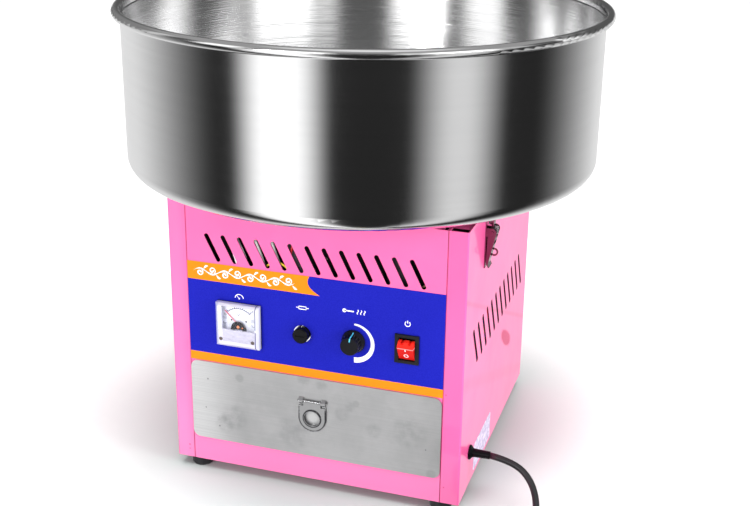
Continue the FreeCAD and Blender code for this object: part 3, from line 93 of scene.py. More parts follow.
def gridMesh(name, grids, smooth=True, wrapColumns=True):
    # Each grid is rows x columns x 3: a point is joined to the next along its row and its column, the
    # last column to the first, and points that fall together at a pole or a seam are merged.
    spots, quads, count = [], [], 0
    for points in (grids if isinstance(grids, list) else [grids]):
        rows, columns = points.shape[:2]
        index = np.arange(rows * columns).reshape(rows, columns) + count
        if wrapColumns:
            index = np.hstack([index, index[:, :1]])
        corners = [index[:-1, :-1], index[1:, :-1], index[1:, 1:], index[:-1, 1:]]
        quads.append(np.stack(corners, axis=-1).reshape(-1, 4))
        spots.append(points.reshape(-1, 3))
        count += rows * columns
    mesh = bpy.data.meshes.new(name)
    mesh.from_pydata(np.vstack(spots).tolist(), [], np.vstack(quads).tolist())
    work = bmesh.new()
    work.from_mesh(mesh)
    bmesh.ops.remove_doubles(work, verts=work.verts, dist=1e-7)
    bmesh.ops.dissolve_degenerate(work, edges=work.edges, dist=1e-8)
    bmesh.ops.recalc_face_normals(work, faces=work.faces)
    for face in work.faces:
        face.smooth = smooth
    work.to_mesh(mesh)
    work.free()
    return mesh


def aboutAxis(radius, height, axis="z", at=(0, 0, 0), steps=48):
    # the profile (r, h) goes round the axis: (r cos a, r sin a, h), swapped for an axis along x or y
    angle = np.linspace(0, 2 * pi, steps, endpoint=False)[None, :]
    radius, height = np.array(radius)[:, None], np.array(height)[:, None]
    flat = [radius * np.cos(angle), radius * np.sin(angle), height + 0 * angle]
    order = {"z": (0, 1, 2), "x": (2, 0, 1), "y": (1, 2, 0)}[axis]
    return np.stack([flat[place] for place in order], axis=-1) + np.array(at)


def pointsAt(x, y, z):
    # points from coordinates that are numbers or arrays
    return np.stack(np.broadcast_arrays(x, y, z), axis=-1)


def unit(vectors):
    return vectors / np.linalg.norm(vectors, axis=-1, keepdims=True)


def tubeAlong(path, radius, sides=12, up=(0.13, 0.31, 0.94)):
    # a circle carried along the path, square to its direction d: p + r (cos a . n + sin a . (d x n)),
    # with n = up x d made unit; each end closes on its point
    path = np.asarray(path, float)
    way = unit(np.gradient(path, axis=0))
    normal = unit(np.cross(np.array(up), way))
    other = np.cross(way, normal)
    angle = np.linspace(0, 2 * pi, sides, endpoint=False)[None, :, None]
    radius = np.broadcast_to(np.asarray(radius, float), len(path))[:, None, None]
    ring = path[:, None] + radius * (np.cos(angle) * normal[:, None] + np.sin(angle) * other[:, None])
    ends = [np.repeat(path[end][None, None], sides, axis=1) for end in (0, -1)]
    return np.vstack([ends[0], ring, ends[1]])


def strokeAlong(path, width, depth=0.00006, out=(0, -1, 0), closed=False):
    # a flat stroke on a surface: p + (d x o) w / 2 and p - (d x o) w / 2 for each point p of the path
    # with direction d and outward normal o, on the surface and depth above it
    path = np.asarray(path, float)
    out = np.broadcast_to(np.asarray(out, float), path.shape)
    way = unit(np.roll(path, -1, 0) - np.roll(path, 1, 0) if closed else np.gradient(path, axis=0))
    side = np.cross(way, out) * (np.broadcast_to(np.asarray(width, float), len(path)) / 2)[:, None]
    ring = np.stack([path + side, path + side + out * depth, path - side + out * depth, path - side],
                    axis=1)
    if closed:
        return np.vstack([ring, ring[:1]])
    ends = [np.repeat(ring[end].mean(0)[None, None], 4, axis=1) for end in (0, -1)]
    return np.vstack([ends[0], ring, ends[1]])


def arcStroke(middle, radius, start, end, width, face=skinFace):
    # a stroke along the arc (c + r cos a, c' + r sin a) on the front, angles in degrees
    angle = np.radians(np.linspace(start, end, 40))
    return strokeAlong(pointsAt(middle[0] + radius * np.cos(angle), face,
                                middle[1] + radius * np.sin(angle)), width)


def lineStroke(start, end, width, face=skinFace):
    return strokeAlong([(start[0], face, start[1]), (end[0], face, end[1])], width)


def meshFrom(data):
    # the mesh of a curve or a text
    holder = bpy.data.objects.new(data.name, data)
    mesh = bpy.data.meshes.new_from_object(holder)
    bpy.data.objects.remove(holder)
    bpy.data.curves.remove(data)
    return mesh


def splinePoints(points, resolution=6):
    # the points along a smooth NURBS line of order 3
    data = bpy.data.curves.new("route", "CURVE")
    data.dimensions = "3D"
    data.resolution_u = resolution
    line = data.splines.new("NURBS")
    line.points.add(len(points) - 1)
    for spot, point in zip(line.points, points):
        spot.co = (*point, 1)
    line.order_u = 3
    line.use_endpoint_u = True
    mesh = meshFrom(data)
    path = np.empty(len(mesh.vertices) * 3)
    mesh.vertices.foreach_get("co", path)
    bpy.data.meshes.remove(mesh)
    return path.reshape(-1, 3)


class Value:
    # one output of a node; ordinary arithmetic on it adds Math nodes
    def __init__(self, recipe, socket):
        self.recipe, self.socket = recipe, socket

    def calc(self, operation, *values):
        return self.recipe.node("Math", {"operation": operation}, dict(enumerate(values)))

    def ease(self, low, high, start=0.0, end=1.0):
        # from start to end as the value goes from low to high, smoothly
        return self.recipe.node("MapRange", {"interpolation_type": "SMOOTHSTEP"},
                                {0: self, 1: low, 2: high, 3: start, 4: end})

    def larger(self, other):
        return self.calc("MAXIMUM", self, other)

    def __add__(self, other): return self.calc("ADD", self, other)
    def __radd__(self, other): return self.calc("ADD", other, self)
    def __sub__(self, other): return self.calc("SUBTRACT", self, other)
    def __rsub__(self, other): return self.calc("SUBTRACT", other, self)
    def __mul__(self, other): return self.calc("MULTIPLY", self, other)
    def __rmul__(self, other): return self.calc("MULTIPLY", other, self)
    def __truediv__(self, other): return self.calc("DIVIDE", self, other)
    def __pow__(self, other): return self.calc("POWER", self, other)
    def __abs__(self): return self.calc("ABSOLUTE", self)
    def __gt__(self, other): return self.calc("GREATER_THAN", self, other)
    def __lt__(self, other): return self.calc("LESS_THAN", self, other)


class Recipe:
    # a node tree being written: a material's, or the world's
    def __init__(self, tree):
        self.tree = tree

    def node(self, kind, settings={}, inputs={}, out=0):
        made = self.tree.nodes.new("ShaderNode" + kind)
        for name, setting in settings.items():
            if name == "stops":
                self.setStops(made.color_ramp.elements, setting)
            else:
                setattr(made, name, setting)
        for name, value in inputs.items():
            self.feed(made.inputs[name], value)
        return Value(self, made.outputs[out])

    def setStops(self, elements, stops):
        while len(elements) < len(stops):
            elements.new(0.5)
        for element, (place, shade) in zip(elements, stops):
            element.position = place
            element.color = (shade, shade, shade, 1) if isinstance(shade, (int, float)) else (*shade, 1)

    def feed(self, socket, value):
        if isinstance(value, Value):
            self.tree.links.new(value.socket, socket)
        elif isinstance(value, tuple) and len(value) == 3 and socket.type == "RGBA":
            socket.default_value = (*value, 1)
        else:
            socket.default_value = value

    def streaks(self, x, y, z, detail=2, rough=0.5):
        # drawn-out noise: the larger a coordinate's factor, the finer across it
        return self.noise(self.node("CombineXYZ", {}, {0: x, 1: y, 2: z}), 1, detail, rough)

    def parts(self, vector):
        split = self.node("SeparateXYZ", {}, {0: vector}).socket.node.outputs
        return [Value(self, split[number]) for number in range(3)]

    def noise(self, where, scale, detail=2, rough=0.5):
        return self.node("TexNoise", {}, {"Vector": where, "Scale": scale, "Detail": detail,
                                          "Roughness": rough})

    def blend(self, factor, first, second):
        return self.node("Mix", {"data_type": "RGBA"}, {0: factor, 6: first, 7: second}, 2)

    def coats(self, tone, *coats):
        # each coat is its share and its colour, laid over what is there
        for share, colour in coats:
            tone = self.blend(share, tone, colour)
        return tone


class Finish(Recipe):
    # a material on one Principled shader; fixed values go straight onto its sockets
    def __init__(self, name, fixed):
        self.material = bpy.data.materials.new(name)
        self.material.use_nodes = True
        super().__init__(self.material.node_tree)
        self.shader = self.tree.nodes["Principled BSDF"]
        self.place = self.node("TexCoord", out="Object")
        self.give(fixed)

    def grain(self, scale, detail=2, rough=0.5):
        return self.noise(self.place, scale, detail, rough)

    def axes(self):
        return self.parts(self.place)

    def give(self, values):
        for name, value in values.items():
            self.feed(self.shader.inputs[name], value)

    def done(self, values, height, distance):
        # the values, a bump of this height over this distance, and the finished material
        bump = self.node("Bump", {}, {"Height": height, "Distance": distance, "Strength": 1.0})
        self.give({**values, "Normal": bump})
        return self.material


# out of the gland, down to the ground, round into a neat coil out of the way, and on to the plug
lead = {
    "diameter": 0.007, "length": 1.45,
    "route": [(0.1805, -0.114, 0.052), (0.207, -0.115, 0.050), (0.229, -0.127, 0.037),
              (0.239, -0.149, 0.0195), (0.238, -0.175, 0.0065), (0.2295, -0.202, 0.0036),
              (0.2224, -0.231, 0.0036)],
    "tail": [(0.1802, -0.2627, 0.0123), (0.1612, -0.2697, 0.0095)],
    "middle": (0.183, -0.217), "inner": 0.035, "outer": 0.042, "rise": 0.007, "low": 0.0036,
    "start": -20, "travel": 1850, "perTurn": 24, "slotTurn": 320, "slide": 40,
}


def coilPoints():
    # each pass keeps to its own slot (radius, height) for 280 degrees and slides into the next over
    # 40, so that the passes never cross: in, up, out, up and in, out
    low, inner, outer, rise = lead["low"], lead["inner"], lead["outer"], lead["rise"]
    slots = np.array([(outer, low), (inner, low), (inner, low + rise), (outer, low + rise),
                      (inner, low + 2 * rise), (outer, low + 2 * rise)])
    turn = np.arange(360 / lead["perTurn"], lead["travel"], 360 / lead["perTurn"])
    number = (turn // lead["slotTurn"]).astype(int)
    after = np.minimum(number + 1, len(slots) - 1)
    share = np.clip((turn % lead["slotTurn"] - lead["slotTurn"] + lead["slide"]) / lead["slide"], 0, 1)
    share = (share * share * (3 - 2 * share))[:, None]
    radius, height = (slots[number] * (1 - share) + slots[after] * share).T
    hump = (number == 3) * np.sin(share[:, 0] * pi) * rise * 0.2
    angle = np.radians(lead["start"] - turn)
    reach = (radius + hump) / cos(pi / lead["perTurn"])
    return pointsAt(lead["middle"][0] + reach * np.cos(angle),
                    lead["middle"][1] + reach * np.sin(angle), height + hump)


leadPath = splinePoints(lead["route"] + [tuple(point) for point in coilPoints()] + lead["tail"])
leadCord = addPiece("mains_lead", tubeAlong(leadPath, lead["diameter"] / 2), "case",
                    replaces=["power_cord", "cord_coil"])
print("lead laid")


# the paper's two greys; its painted shadow's tone and where it starts and fades round the case; where the
# far glow starts and ends, and its strength
ground = {"half": 12, "greys": ((0.72, 0.72, 0.72), (0.75, 0.75, 0.75)), "near": (0.50, 0.56, 0.545),
          "nearFrom": 0.16, "nearTo": 0.37, "farFrom": 0.8, "farTo": 2.5, "glow": 0.3}


def makeFloor():
    # white paper that glows plain white far out, so that it has no horizon; a painted shadow, darker and
    # greenish against the case's pink bounce light, lies round the case
    half = ground["half"]
    corners = np.array([[(-half, -half, 0), (half, -half, 0)], [(-half, half, 0), (half, half, 0)]], float)
    mesh = gridMesh("floor", corners, smooth=False, wrapColumns=False)
    floor = addObject("floor", mesh)
    finish = Finish("floorPaper", {"Roughness": 0.9, "Specular IOR Level": 0.1,
                                   "Emission Strength": ground["glow"]})
    x, y, _ = finish.axes()
    reach = (x ** 2 + y ** 2) ** 0.5
    far = reach.ease(ground["farFrom"], ground["farTo"])
    tone = finish.coats(finish.blend(finish.grain(60, 3), *ground["greys"]),
                        # painted shadow round the case
                        (reach.ease(ground["nearTo"], ground["nearFrom"]), ground["near"]),
                        (far, (0.98, 0.98, 0.98)))
    finish.give({"Base Color": tone, "Emission Color": finish.blend(far, (0.0, 0.0, 0.0),
                                                                    (1.0, 1.0, 1.0))})
    mesh.materials.append(finish.material)
    floor.visible_glossy = False


# the room as the polished bowl sees it: soft upright strips of light, each with its compass angle,
# half width, width of its soft edge (degrees) and brightness; the low ones reach up to the horizon,
# the high ones from there to the dim wall over them
room = {
    "low": [(116.5, 68.5, 70, 0.80), (-110, 16, 19, 1.30), (-27, 14, 24, 0.75)], "lowDark": 0.02,
    "high": [(-101, 14, 9, 1.45), (-28, 16, 10, 1.7), (-52, 5, 8, 0.75), (-138, 11, 10, 1.2),
             (-176, 6, 14, 0.62), (40, 9, 18, 1.05), (-1, 7, 14, 0.48), (152, 25, 30, 0.14)],
    "highDark": 0.10, "stripTop": 0.48, "over": 0.35, "ceilingFrom": 0.88, "ceiling": 0.9,
}


def makeWorld():
    # the sum of the low or high strips at the compass angle atan2(y, x); above the strips' top it
    # eases into an even dim wall, and that into the ceiling
    world = bpy.data.worlds.new("studio")
    world.use_nodes = True
    bpy.context.scene.world = world
    recipe = Recipe(world.node_tree)
    x, y, z = recipe.parts(recipe.node("TexCoord", out="Generated"))
    angle = y.calc("ARCTAN2", y, x)
    light = {"low": room["lowDark"], "high": room["highDark"]}
    for row in light:
        for middle, half, soft, level in room[row]:
            apart = abs(angle.calc("WRAP", angle - radians(middle), pi, -pi))
            light[row] = light[row] + level * apart.ease(radians(half + soft / 2),
                                                         radians(half - soft / 2))
    above = z.ease(0, 0.05)
    over = z.ease(room["stripTop"], room["stripTop"] + 0.1)
    overhead = z.ease(room["ceilingFrom"], 0.98)
    walls = (light["low"] * (1 - above) + light["high"] * above) * (1 - over) + room["over"] * over
    seen = walls * (1 - overhead) + room["ceiling"] * overhead
    camera = recipe.node("LightPath", out="Is Camera Ray")  # behind the floor's edge it is plain white
    backdrop = world.node_tree.nodes["Background"]
    recipe.feed(backdrop.inputs["Color"], (1, 1, 1))
    recipe.feed(backdrop.inputs["Strength"], seen * (1 - camera) + camera)


# each lamp's place, what it points at, its width and height, and its power in watts
lamps = {
    "topLight": ((0.1, -0.2, 2.6), (0, 0, 0.2), (2.2, 2.2), 120),
    "keyLight": ((-0.9, -2.4, 0.9), (0, -0.1, 0.15), (1.0, 0.8), 33),
    "sideLight": ((2.2, -0.5, 0.9), (0.16, 0, 0.15), (1.0, 0.8), 40),
    "glint": ((-0.55, -1.6, 0.75), (0, -0.15, 0.18), (0.16, 0.16), 4),
}


def areaLight(name, place, aim, size, power):
    data = bpy.data.lights.new(name, "AREA")
    data.shape, data.size, data.size_y, data.energy = "RECTANGLE", size[0], size[1], power
    lamp = addObject(name, data)
    lamp.visible_glossy = name == "glint"  # the glint is only a highlight, the others only light
    lamp.visible_diffuse = name != "glint"
    turned = (Vector(aim) - Vector(place)).to_track_quat("-Z", "Y").to_matrix().to_4x4()
    lamp.matrix_world = Matrix.Translation(place) @ turned


makeFloor()
makeWorld()
for name, values in lamps.items():
    areaLight(name, *values)
print("stage lit")


# small marks in the paint and the drawer's front, and the painted highlight behind the pull's hole:
# place on their face (metres) and radius
marks = {
    "flangeWelds": [(-0.1443, 0.0265, 0.0016), (-0.1443, 0.0215, 0.0012), (0.1413, 0.136, 0.0013),
                    (0.1422, 0.0304, 0.0013)],
    "drawerWelds": [(-0.1188, 0.1113, 0.0013), (-0.122, 0.077, 0.0011), (-0.1067, 0.0572, 0.0013),
                    (0.1225, 0.0712, 0.0011)],
    "smudges": [(-0.088, 0.071, 0.018), (-0.100, 0.062, 0.014), (-0.022, 0.064, 0.022),
                (-0.010, 0.128, 0.009), (0.010, 0.125, 0.008), (0.032, 0.096, 0.010),
                (0.041, 0.106, 0.007), (0.067, 0.083, 0.011), (0.105, 0.088, 0.022)],
    "rings": [(0.0475, 0.1105, 0.0048), (0.1290, 0.0440, 0.0068), (-0.0820, 0.1180, 0.0060)],
    "disc": [(0.0, 0.0860, 0.0074)],
}


def dotMask(x, z, dots):
    # on the front: 1 inside each dot, easing to 0 at its edge
    mask = 0.0
    for across, high, radius in dots:
        apart = ((x - across) ** 2 + (z - high) ** 2) ** 0.5
        mask = mask + apart.ease(radius, radius * 0.5)
    return mask


def middleOf(name):
    # the middle of a part, seen from the front
    low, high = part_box(name)
    return (low[0] + high[0]) / 2, (low[2] + high[2]) / 2


# the painted case: its two pinks, the painted shade inside it, and where its faces, flanges and marks lie;
# a painted reflection is given by the middle it has on the side's face, its sizes and how steeply it falls
enamel = {
    "pinks": ((0.86, 0.110, 0.335), (0.90, 0.125, 0.362)), "insideShade": (0.028, 0.006, 0.010),
    "front": -0.1554, "side": 0.1583, "flange": 0.1384,
    "reflectionMiddle": (0.055, 0.109), "reflectionSize": (0.026, 0.0095), "reflectionLean": 0.53,
    "upperReflectedLine": (0.149, 0.235, 0.463), "lowerReflectedLine": (0.133, 0.140, 0.40),
    "pinholes": (0.018, 0.270), "inner": (0.15845, 0.150), "behind": (0.1375, -0.15545, 0.1609),
    "floorTo": 0.0126, "deckFrom": 0.3085,
}


def pinkEnamel():
    # glossy enamel: fine orange-peel skin, slow ripples, dull weld marks; painted light and shade on the
    # front, painted reflections on the right side, and painted shade, near black, inside the case
    finish = Finish("pinkEnamel", {"Coat Roughness": 0.03, "Specular IOR Level": 0.3})
    x, y, z = finish.axes()
    front, side = y < enamel["front"], x > enamel["side"]
    welds = dotMask(x, z, marks["flangeWelds"])
    # painted light: the front is paler toward its foot
    foot = z.ease(0.15, 0.02, 0, 0.45) * front
    seam = abs(abs(x) - enamel["flange"]).ease(0.0010, 0.0003) * front
    # painted reflection of the plug: a darker patch on the right side, with less coat over it
    (reflectionY, reflectionZ), (long, tall) = enamel["reflectionMiddle"], enamel["reflectionSize"]
    slant = z - reflectionZ + (y - reflectionY) * enamel["reflectionLean"]
    shade = (((y - reflectionY) / long) ** 2 + (slant / tall) ** 2) ** 0.5
    shade = (shade + finish.grain(60) * 0.5).ease(1.50, 1.05) * side
    # painted reflections: two darker lines across the right side
    upper, lower = [abs(z - high + (y + start) * fall)
                    for start, high, fall in (enamel["upperReflectedLine"], enamel["lowerReflectedLine"])]
    reflectedLines = upper.ease(0.0045, 0.0005) * side + lower.ease(0.012, 0.001, 0, 0.5) * side
    holeY, holeZ = enamel["pinholes"]
    holes = (abs(abs(y - holeY) - 0.0045) + abs(z - holeZ)).ease(0.0016, 0.0006)
    tone = finish.coats(
        finish.blend(finish.grain(11, 3).ease(0.3, 0.7), *enamel["pinks"]),
        # painted light on the front's foot and left flange; painted shade on its right flange
        (foot + x.ease(-0.137, -0.150, 0, 0.2) * front, (0.95, 0.26, 0.52)),
        (x.ease(0.1375, 0.1385, 0, 0.35) * front, (0.84, 0.07, 0.28)),
        (finish.grain(900, 1).ease(0.74, 0.80) * 0.25, (0.60, 0.05, 0.22)),
        (welds * front * 0.55, (0.45, 0.03, 0.14)),
        (seam * 0.75, (0.36, 0.02, 0.10)),
        # painted reflection of the plug
        (shade * 0.85, (0.50, 0.010, 0.10)),
        # painted reflected lines
        (reflectedLines * 0.4, (0.66, 0.03, 0.17)),
        (holes * side * 0.7, (0.25, 0.22, 0.24)))
    # painted shade: the case's inner faces are near black, with no coat
    innerX, innerY = enamel["inner"]
    width, start, end = enamel["behind"]
    within = (abs(x) < innerX) * (abs(y) < innerY)
    behind = (abs(x) < width) * (y > start) * (y < end)
    shadedInside = within.larger(behind) * (z < enamel["deckFrom"]) * (z > enamel["floorTo"])
    return finish.done({"Base Color": finish.blend(shadedInside, tone, enamel["insideShade"]),
                        "Coat Weight": 0.5 * (1 - shadedInside) * (1 - shade * 0.9),
                        "Roughness": 0.30 + 0.10 * finish.grain(26, 3) + shadedInside * 0.5},
                       finish.grain(620) * 0.012 + finish.grain(8, 1) + welds * front * 0.10, 0.0008)


# the bowl's inner wall: its radius, from and to what height, how far it leans and its rings' depth
bowl = {"inner": 0.2507, "wallFrom": 0.355, "wallTo": 0.4862, "lean": 0.2125, "swell": 0.00015}


def bowlSteel():
    # spun stainless sheet: faint rings and hand marks; inside, deeper rings and a wall that seems to
    # lean open by 12 degrees, as the fine steps of spinning make it
    finish = Finish("bowlSteel", {"Metallic": 1.0})
    x, y, z = finish.axes()
    reach = (x ** 2 + y ** 2) ** 0.5
    rings = finish.streaks(x * 5, y * 5, (z + reach) * 1400, 3, 0.6)
    bands = finish.streaks(x * 2, y * 2, (z + reach) * 160)
    inside = ((reach < bowl["inner"]) * z.ease(bowl["wallFrom"], bowl["wallFrom"] + 0.015)
              * z.ease(bowl["wallTo"], bowl["wallTo"] - 0.0014))
    swell = finish.streaks(x, y, z * 1100) * bowl["swell"]
    return finish.done({"Base Color": finish.blend(bands, (0.80, 0.80, 0.805), (0.86, 0.86, 0.862)),
                        "Roughness": 0.085 + rings * 0.07 + finish.grain(9, 3, 0.6) * 0.03},
                       rings * 0.000006 + (swell - z * bowl["lean"]) * inside, 1.0)


def drawerSteel():
    # brushed sheet with cloudy smudges and spot-weld dimples; painted light brightens the front toward
    # its left end, and a painted highlight lights a disc behind the pull's hole
    finish = Finish("drawerSteel", {"Metallic": 0.82, "Specular IOR Level": 0.4})
    x, y, z = finish.axes()
    brush = finish.streaks(x * 8, y * 8, z * 1500, 3, 0.6)
    clouds, mottle = finish.grain(24, 4, 0.6), finish.grain(110, 3, 0.6)
    front = y < -0.1562
    welds = dotMask(x, z, marks["drawerWelds"]) * front
    smudge = dotMask(x, z, marks["smudges"]) * mottle.ease(0.25, 0.75) * front
    ring = dotMask(x, z, marks["rings"]) * front
    # painted highlight: a bright disc behind the pull's hole
    disc = dotMask(x, z, marks["disc"]) * front
    tone = finish.coats(
        finish.blend(clouds.ease(0.30, 0.70), (0.44, 0.44, 0.445), (0.52, 0.52, 0.525)),
        # painted light: brighter toward the left end
        (x.ease(-0.075, -0.135) * 0.8, (0.84, 0.84, 0.845)),
        (brush.ease(0.35, 0.75) * 0.25, (0.32, 0.32, 0.33)),
        (smudge * 0.36 + ring * 0.30, (0.24, 0.24, 0.25)),
        (welds * 0.6, (0.14, 0.14, 0.15)),
        # painted highlight behind the pull's hole
        (disc * (0.5 + 0.4 * mottle), (0.72, 0.72, 0.72)))
    return finish.done({"Base Color": tone, "Roughness": 0.40 + 0.10 * clouds - 0.10 * brush},
                       brush * 0.5 + welds * -0.9 + disc * mottle * 1.5, 0.00006)


pull = {"outline": 0.0132, "lip": 0.0096, "top": 0.0125}  # from the middle of its hole


def pullPlating():
    # polished plate, with painted shade round its outline and its hole
    finish = Finish("pullPlating", {"Metallic": 1.0})
    x, _, z = finish.axes()
    rise = z - marks["disc"][0][1]
    reach = (x ** 2 + rise ** 2) ** 0.5
    outline = abs(x).larger(reach * (rise < 0)) * (rise < pull["top"])
    worn = finish.grain(300, 3)
    # painted shade round the plate's outline and its hole's lip, broken up by the worn grain
    edgeShade = (outline.ease(pull["outline"], pull["outline"] + 0.0014)
             + abs(reach - pull["lip"]).ease(0.0010, 0.0004)) * worn.ease(0.25, 0.45)
    return finish.done({"Base Color": finish.blend(edgeShade, (0.33, 0.33, 0.335), (0.035, 0.035, 0.04)),
                        "Roughness": 0.2 + 0.1 * worn}, worn, 0.00001)


# the banner and the stripe on the printed skin (metres)
skinPrint = {"stripeTop": 0.1416, "bannerLow": 0.2241, "curlTop": -0.0033, "curlTip": 0.0078}


def overlayPrint():
    # screen-printed vinyl: blue, with an orange stripe below and an orange banner with a curled end
    finish = Finish("overlayPrint", {"Specular IOR Level": 0.04})
    x, _, z = finish.axes()
    grain = finish.grain(900)
    blue = finish.blend(grain.ease(0.3, 0.7), (0.009, 0.012, 0.345), (0.013, 0.017, 0.395))
    orange = finish.blend(grain, (0.88, 0.222, 0.010), (0.93, 0.248, 0.013))
    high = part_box("front_overlay")[1][2]
    down = (high - z) / (high - skinPrint["bannerLow"])
    curl = (skinPrint["curlTop"] - 0.012 * down * (1 - down)
            + (skinPrint["curlTip"] - skinPrint["curlTop"]) * down ** 2.5)
    banner = (z > skinPrint["bannerLow"]) * (x < curl)
    mask = (z < skinPrint["stripeTop"]).larger(banner)
    return finish.done({"Base Color": finish.blend(mask, blue, orange),
                        "Roughness": 0.44 + 0.12 * finish.grain(18)}, grain + mask * 0.6, 0.00002)


def dialPlate():
    # white card, lavender toward the bottom where the cover dulls it
    finish = Finish("dialPlate", {"Roughness": 0.5})
    x, _, z = finish.axes()
    middle, height = middleOf("meter_dial")
    lower = z.ease(height - 0.004, height - 0.013)
    haze = finish.streaks(x * 160, 0, z * 420, 3, 0.6)
    line = abs(x - middle - 0.0005).ease(0.0016, 0.0004)
    shade = finish.blend(lower * (0.25 + 0.75 * haze), (0.80, 0.82, 0.93), (0.56, 0.53, 0.74))
    return finish.done({"Base Color": finish.blend(lower * line * 0.8, shade, (0.86, 0.84, 0.92))},
                       haze, 0.00002)


def clearCover():
    # clear plastic: nearly invisible over the dial; painted light makes it pale and opaque at its border
    # and walls, with a painted blue reflection on the left wall and a painted shadow in the right groove
    finish = Finish("clearCover", {"Specular IOR Level": 0.6})
    x, _, z = finish.axes()
    middle, height = middleOf("meter_cover")
    across, upward = x - middle, z - height
    scuff = finish.grain(500, 3)
    # painted highlight on the walls
    wall = abs(across).larger(abs(upward)).ease(0.0216, 0.0224)
    # painted shadow in the groove inside the right wall
    grooveShadow = abs(across - 0.0208).ease(0.0007, 0.0003) * abs(upward + 0.002).ease(0.0008, 0.0016)
    # painted light over the dial's edge: the border is made pale and opaque
    border = (across.ease(-0.0150, -0.0180) + across.ease(0.0198, 0.0206)
              + upward.ease(-0.0170, -0.0180) + upward.ease(0.0215, 0.0222))
    haze = finish.streaks(x * 160, 0, z * 420, 3, 0.6)
    frost = upward.ease(-0.0026, -0.0048) * (0.35 + 0.5 * haze)
    # painted reflection of the blue skin in the left wall
    blueReflection = across.ease(-0.0195, -0.0215) * scuff.ease(0.30, 0.5)
    tone = finish.coats(finish.blend(frost, (0.80, 0.81, 0.92), (0.58, 0.54, 0.72)),
                        (wall, (0.66, 0.66, 0.78)), (blueReflection * 0.6, (0.30, 0.33, 0.62)),
                        (grooveShadow, (0.10, 0.11, 0.22)))
    return finish.done({"Base Color": tone, "Alpha": (border + grooveShadow + frost).ease(0, 1, 0.02, 0.90),
                        "Roughness": 0.06 + 0.10 * scuff}, scuff, 0.00001)


def fadedNeedle():
    # red lacquer that fades to pink toward the hub
    finish = Finish("fadedNeedle", {"Roughness": 0.4})
    low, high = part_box("meter_needle")
    share = finish.axes()[2].ease(low[2], high[2])
    worn = finish.grain(800)
    tone = finish.blend(share + 0.1 * worn, (0.80, 0.42, 0.52), (0.80, 0.02, 0.05))
    return finish.done({"Base Color": tone}, worn, 0.00001)


# where the plug's cord end lies, which way it points, and where its blades start
plugLie = {"x": 0.16165, "y": -0.26946, "turn": 200, "blades": 0.0622}


def plugMoulding():
    # black vinyl, and plated blades, told by how far along the plug they stand
    finish = Finish("plugMoulding", {})
    x, y, _ = finish.axes()
    turn = radians(plugLie["turn"])
    blades = (x - plugLie["x"]) * cos(turn) + (y - plugLie["y"]) * sin(turn) > plugLie["blades"]
    fine = finish.grain(700)
    vinyl = finish.blend(fine, (0.014, 0.014, 0.016), (0.022, 0.022, 0.025))
    return finish.done({"Base Color": finish.blend(blades, vinyl, (0.74, 0.66, 0.42)),
                        "Metallic": blades, "Roughness": 0.5 - 0.25 * blades + 0.1 * fine}, fine, 0.00004)


def knobGloss():
    # black moulded knob: matt face, polished skirt with faint turning rings
    finish = Finish("knobGloss", {"Specular IOR Level": 0.08})
    x, y, z = finish.axes()
    middle, height = middleOf("heat_knob")
    rings = finish.streaks(0, 0, ((x - middle) ** 2 + (z - height) ** 2) ** 0.5 * 3000)
    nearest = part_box("heat_knob")[0][1]
    face = y.ease(nearest + 0.0014, nearest + 0.0002)
    return finish.done({"Base Color": finish.blend(rings, (0.006, 0.006, 0.008), (0.014, 0.014, 0.017)),
                        "Roughness": 0.18 + 0.25 * face + 0.06 * rings}, rings, 0.00001)


def rockerRed():
    # bright red moulding, with painted shade on the lower face and a painted highlight along the ridge
    finish = Finish("rockerRed", {"Specular IOR Level": 0.2, "Roughness": 0.22})
    z = finish.axes()[2]
    low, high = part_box("switch_rocker")
    ridge = low[2] + (high[2] - low[2]) * 0.70
    # painted shade below the ridge
    upper = z.ease(ridge - 0.0006, ridge + 0.0006)
    # painted highlight along the ridge
    shine = abs(z - ridge + 0.0002).ease(0.0009, 0.0002)
    tone = finish.blend(upper, (0.60, 0.012, 0.010), (0.92, 0.025, 0.015))
    return finish.done({"Base Color": finish.blend(shine * 0.55, tone, (1.0, 0.55, 0.55))},
                       finish.grain(420), 0.00001)


def bareLabel():
    # a blank paper sticker gone lavender, mottled where it has been rubbed
    finish = Finish("bareLabel", {"Specular IOR Level": 0.3})
    blots = finish.grain(170, 4, 0.65)
    return finish.done({"Base Color": finish.blend(blots.ease(0.42, 0.62), (0.46, 0.40, 0.56),
                                                   (0.74, 0.68, 0.82)),
                        "Roughness": 0.55 + 0.2 * blots}, blots, 0.00003)


def plainFinish(name, colour, metallic, roughness, grain=300, depth=0.0001, spread=0.06, shine=0.5):
    # an even finish whose tone and roughness drift a little, with a fine bump
    finish = Finish(name, {"Metallic": metallic, "Specular IOR Level": shine})
    fine = finish.grain(grain)
    darker = tuple(channel * (1 - spread) for channel in colour)
    lighter = tuple(min(channel * (1 + spread), 1) for channel in colour)
    tone = finish.blend(finish.grain(35, 3).ease(0.3, 0.7), darker, lighter)
    return finish.done({"Base Color": tone, "Roughness": roughness * (0.9 + 0.2 * fine)}, fine, depth)


